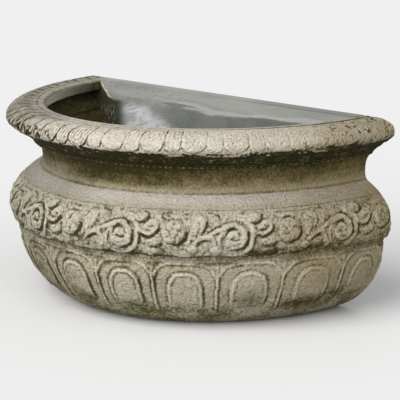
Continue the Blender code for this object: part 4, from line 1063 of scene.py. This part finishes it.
# Painted shadow of the lip on the panel's left, tinted green as slime: a hard diagonal edge above the
# corner, a soft one below.
slime_and_shadow = past_seam.above(-0.003, 0.002) * (z - SLIME_SHADOW_LOW_Z).above(0.0, 0.004)
slime_and_shadow = slime_and_shadow + past_corner.above(-0.022, 0.006) * (SLIME_SHADOW_HIGH_Z - z).above(0.0, 0.006)
grey = grey.tinted(slime_and_shadow.clipped() * 0.95 * inside, SLIME_AND_SHADOW)
seam = near_zero(past_seam, 0.0040) * speck.above(0.40, 0.50) * (z - 0.247).above(0.0, 0.004)
scratch = near_zero(blades - 0.5, 0.012) * past_corner.above(0.002, 0.010) * (0.240 - z).above(0.0, 0.006)
grey = grey.tinted((seam * 0.95 + scratch * 0.7).clipped() * inside, LICHEN)
trowelled = lay * 0.8 + wash * 0.5 + speck * 0.25
ink.fill(shader, {"Base Color": grey, "Roughness": 0.62 + cloud * 0.30 - painted_wet_reflection * 0.35,
                  "Normal": trowelled.bump(0.002, 0.6)})


def dress(name, material):
    """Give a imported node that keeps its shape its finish."""
    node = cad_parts[name]
    node.data.materials.clear()
    node.data.materials.append(material)


for name in ("back_panel", "floor_slab"):
    dress(name, cement)


# Corner mortar: a bead of lime mortar worked by hand into each inner corner, where the
# panel meets the wall. It is pale and green in blotches, with dark crumbs.
MORTAR, MORTAR_GREEN = tone(150, 146, 118), tone(58, 58, 36)

mortar, ink, shader = new_material("corner_mortar")
crumb, blotch = ink.mottle(0.002, 4.0, 0.7), ink.mottle(0.02, 3.0)
lime = ink.mixed(blotch.above(0.25, 0.50), MORTAR, MORTAR_GREEN)
lime = lime.tinted((1.0 - crumb).above(0.55, 0.7) * 0.5, SLIME_AND_SHADOW)
ink.fill(shader, {"Base Color": lime, "Roughness": 0.85 + crumb * 0.12, "Normal": crumb.bump(0.002, 0.8)})
for name in ("corner_mortar_left", "corner_mortar_right"):
    dress(name, mortar)


# Studio: a plain pale floor that takes the pot's shadow, one broad soft light from the front
# and above, a weaker one from the right, even light from all round, and a camera with a long
# lens at the front right, a little above the rim.
FLOOR_SIZE, FLOOR_Z = 24.0, -0.0004
CARD_SEEN, CARD_LIT = (0.89, 0.89, 0.89), (0.60, 0.60, 0.58)
LIGHTS = [("key_light", (0.0, -0.88, 0.64), 2.65, 55), ("fill_light", (0.85, -0.55, 0.15), 1.1, 80)]
ROUND_LIGHT, PAGE_GREY = 0.40, 0.88
CAMERA_AT = Vector((1.87365, -1.94269, 0.73844))
CAMERA_ALONG = Vector((-0.65931749, 0.7207831, -0.21394432))
LENS, SENSOR_WIDTH, FARTHEST = 178.2, 36.0, 100.0


def seen_ray(ink):
    """1 for a ray that shows a thing, straight or by a mirror, and 0 for one that lights it."""
    seen = ink.node("LightPath", output="Is Camera Ray")
    for ray in ("Is Glossy Ray", "Is Transmission Ray"):
        seen = seen.maths("MAXIMUM", seen, ink.node("LightPath", output=ray))
    return seen


def placed(thing, towards, axis, across):
    """An object in the scene that is turned with one of its axes along a direction."""
    made = bpy.data.objects.new(thing.name, thing)
    made.rotation_mode = "QUATERNION"
    made.rotation_quaternion = towards.to_track_quat(axis, across)
    bpy.context.scene.collection.objects.link(made)
    return made


bpy.ops.mesh.primitive_grid_add(x_subdivisions=2, y_subdivisions=2, size=FLOOR_SIZE,
                                location=(0, 0, FLOOR_Z))
floor = bpy.context.object
floor.name = "studio_floor"
card, ink, shader = new_material("pale_card")
ink.fill(shader, {"Base Color": ink.mixed(seen_ray(ink), CARD_LIT, CARD_SEEN), "Roughness": 1.0,
                  "Specular IOR Level": 0.0})
floor.data.materials.append(card)

for name, towards, power, spread in LIGHTS:
    lamp = bpy.data.lights.new(name, "SUN")
    lamp.energy = power
    lamp.angle = math.radians(spread)
    placed(lamp, Vector(towards), "Z", "Y")

world = bpy.data.worlds.new("studio_air")
world.use_nodes = True
ink = Wire(world.node_tree)
level = seen_ray(ink) * (PAGE_GREY - ROUND_LIGHT) + ROUND_LIGHT
ink.fill(world.node_tree.nodes["Background"], {"Strength": level, "Color": (1.0, 1.0, 1.0, 1.0)})
bpy.context.scene.world = world
bpy.context.scene.view_settings.view_transform = "Standard"

camera_data = bpy.data.cameras.new("camera")
camera_data.sensor_width = SENSOR_WIDTH
camera_data.lens = LENS
camera_data.clip_end = FARTHEST
camera = placed(camera_data, CAMERA_ALONG, "-Z", "Y")
camera.location = CAMERA_AT
bpy.context.scene.camera = camera
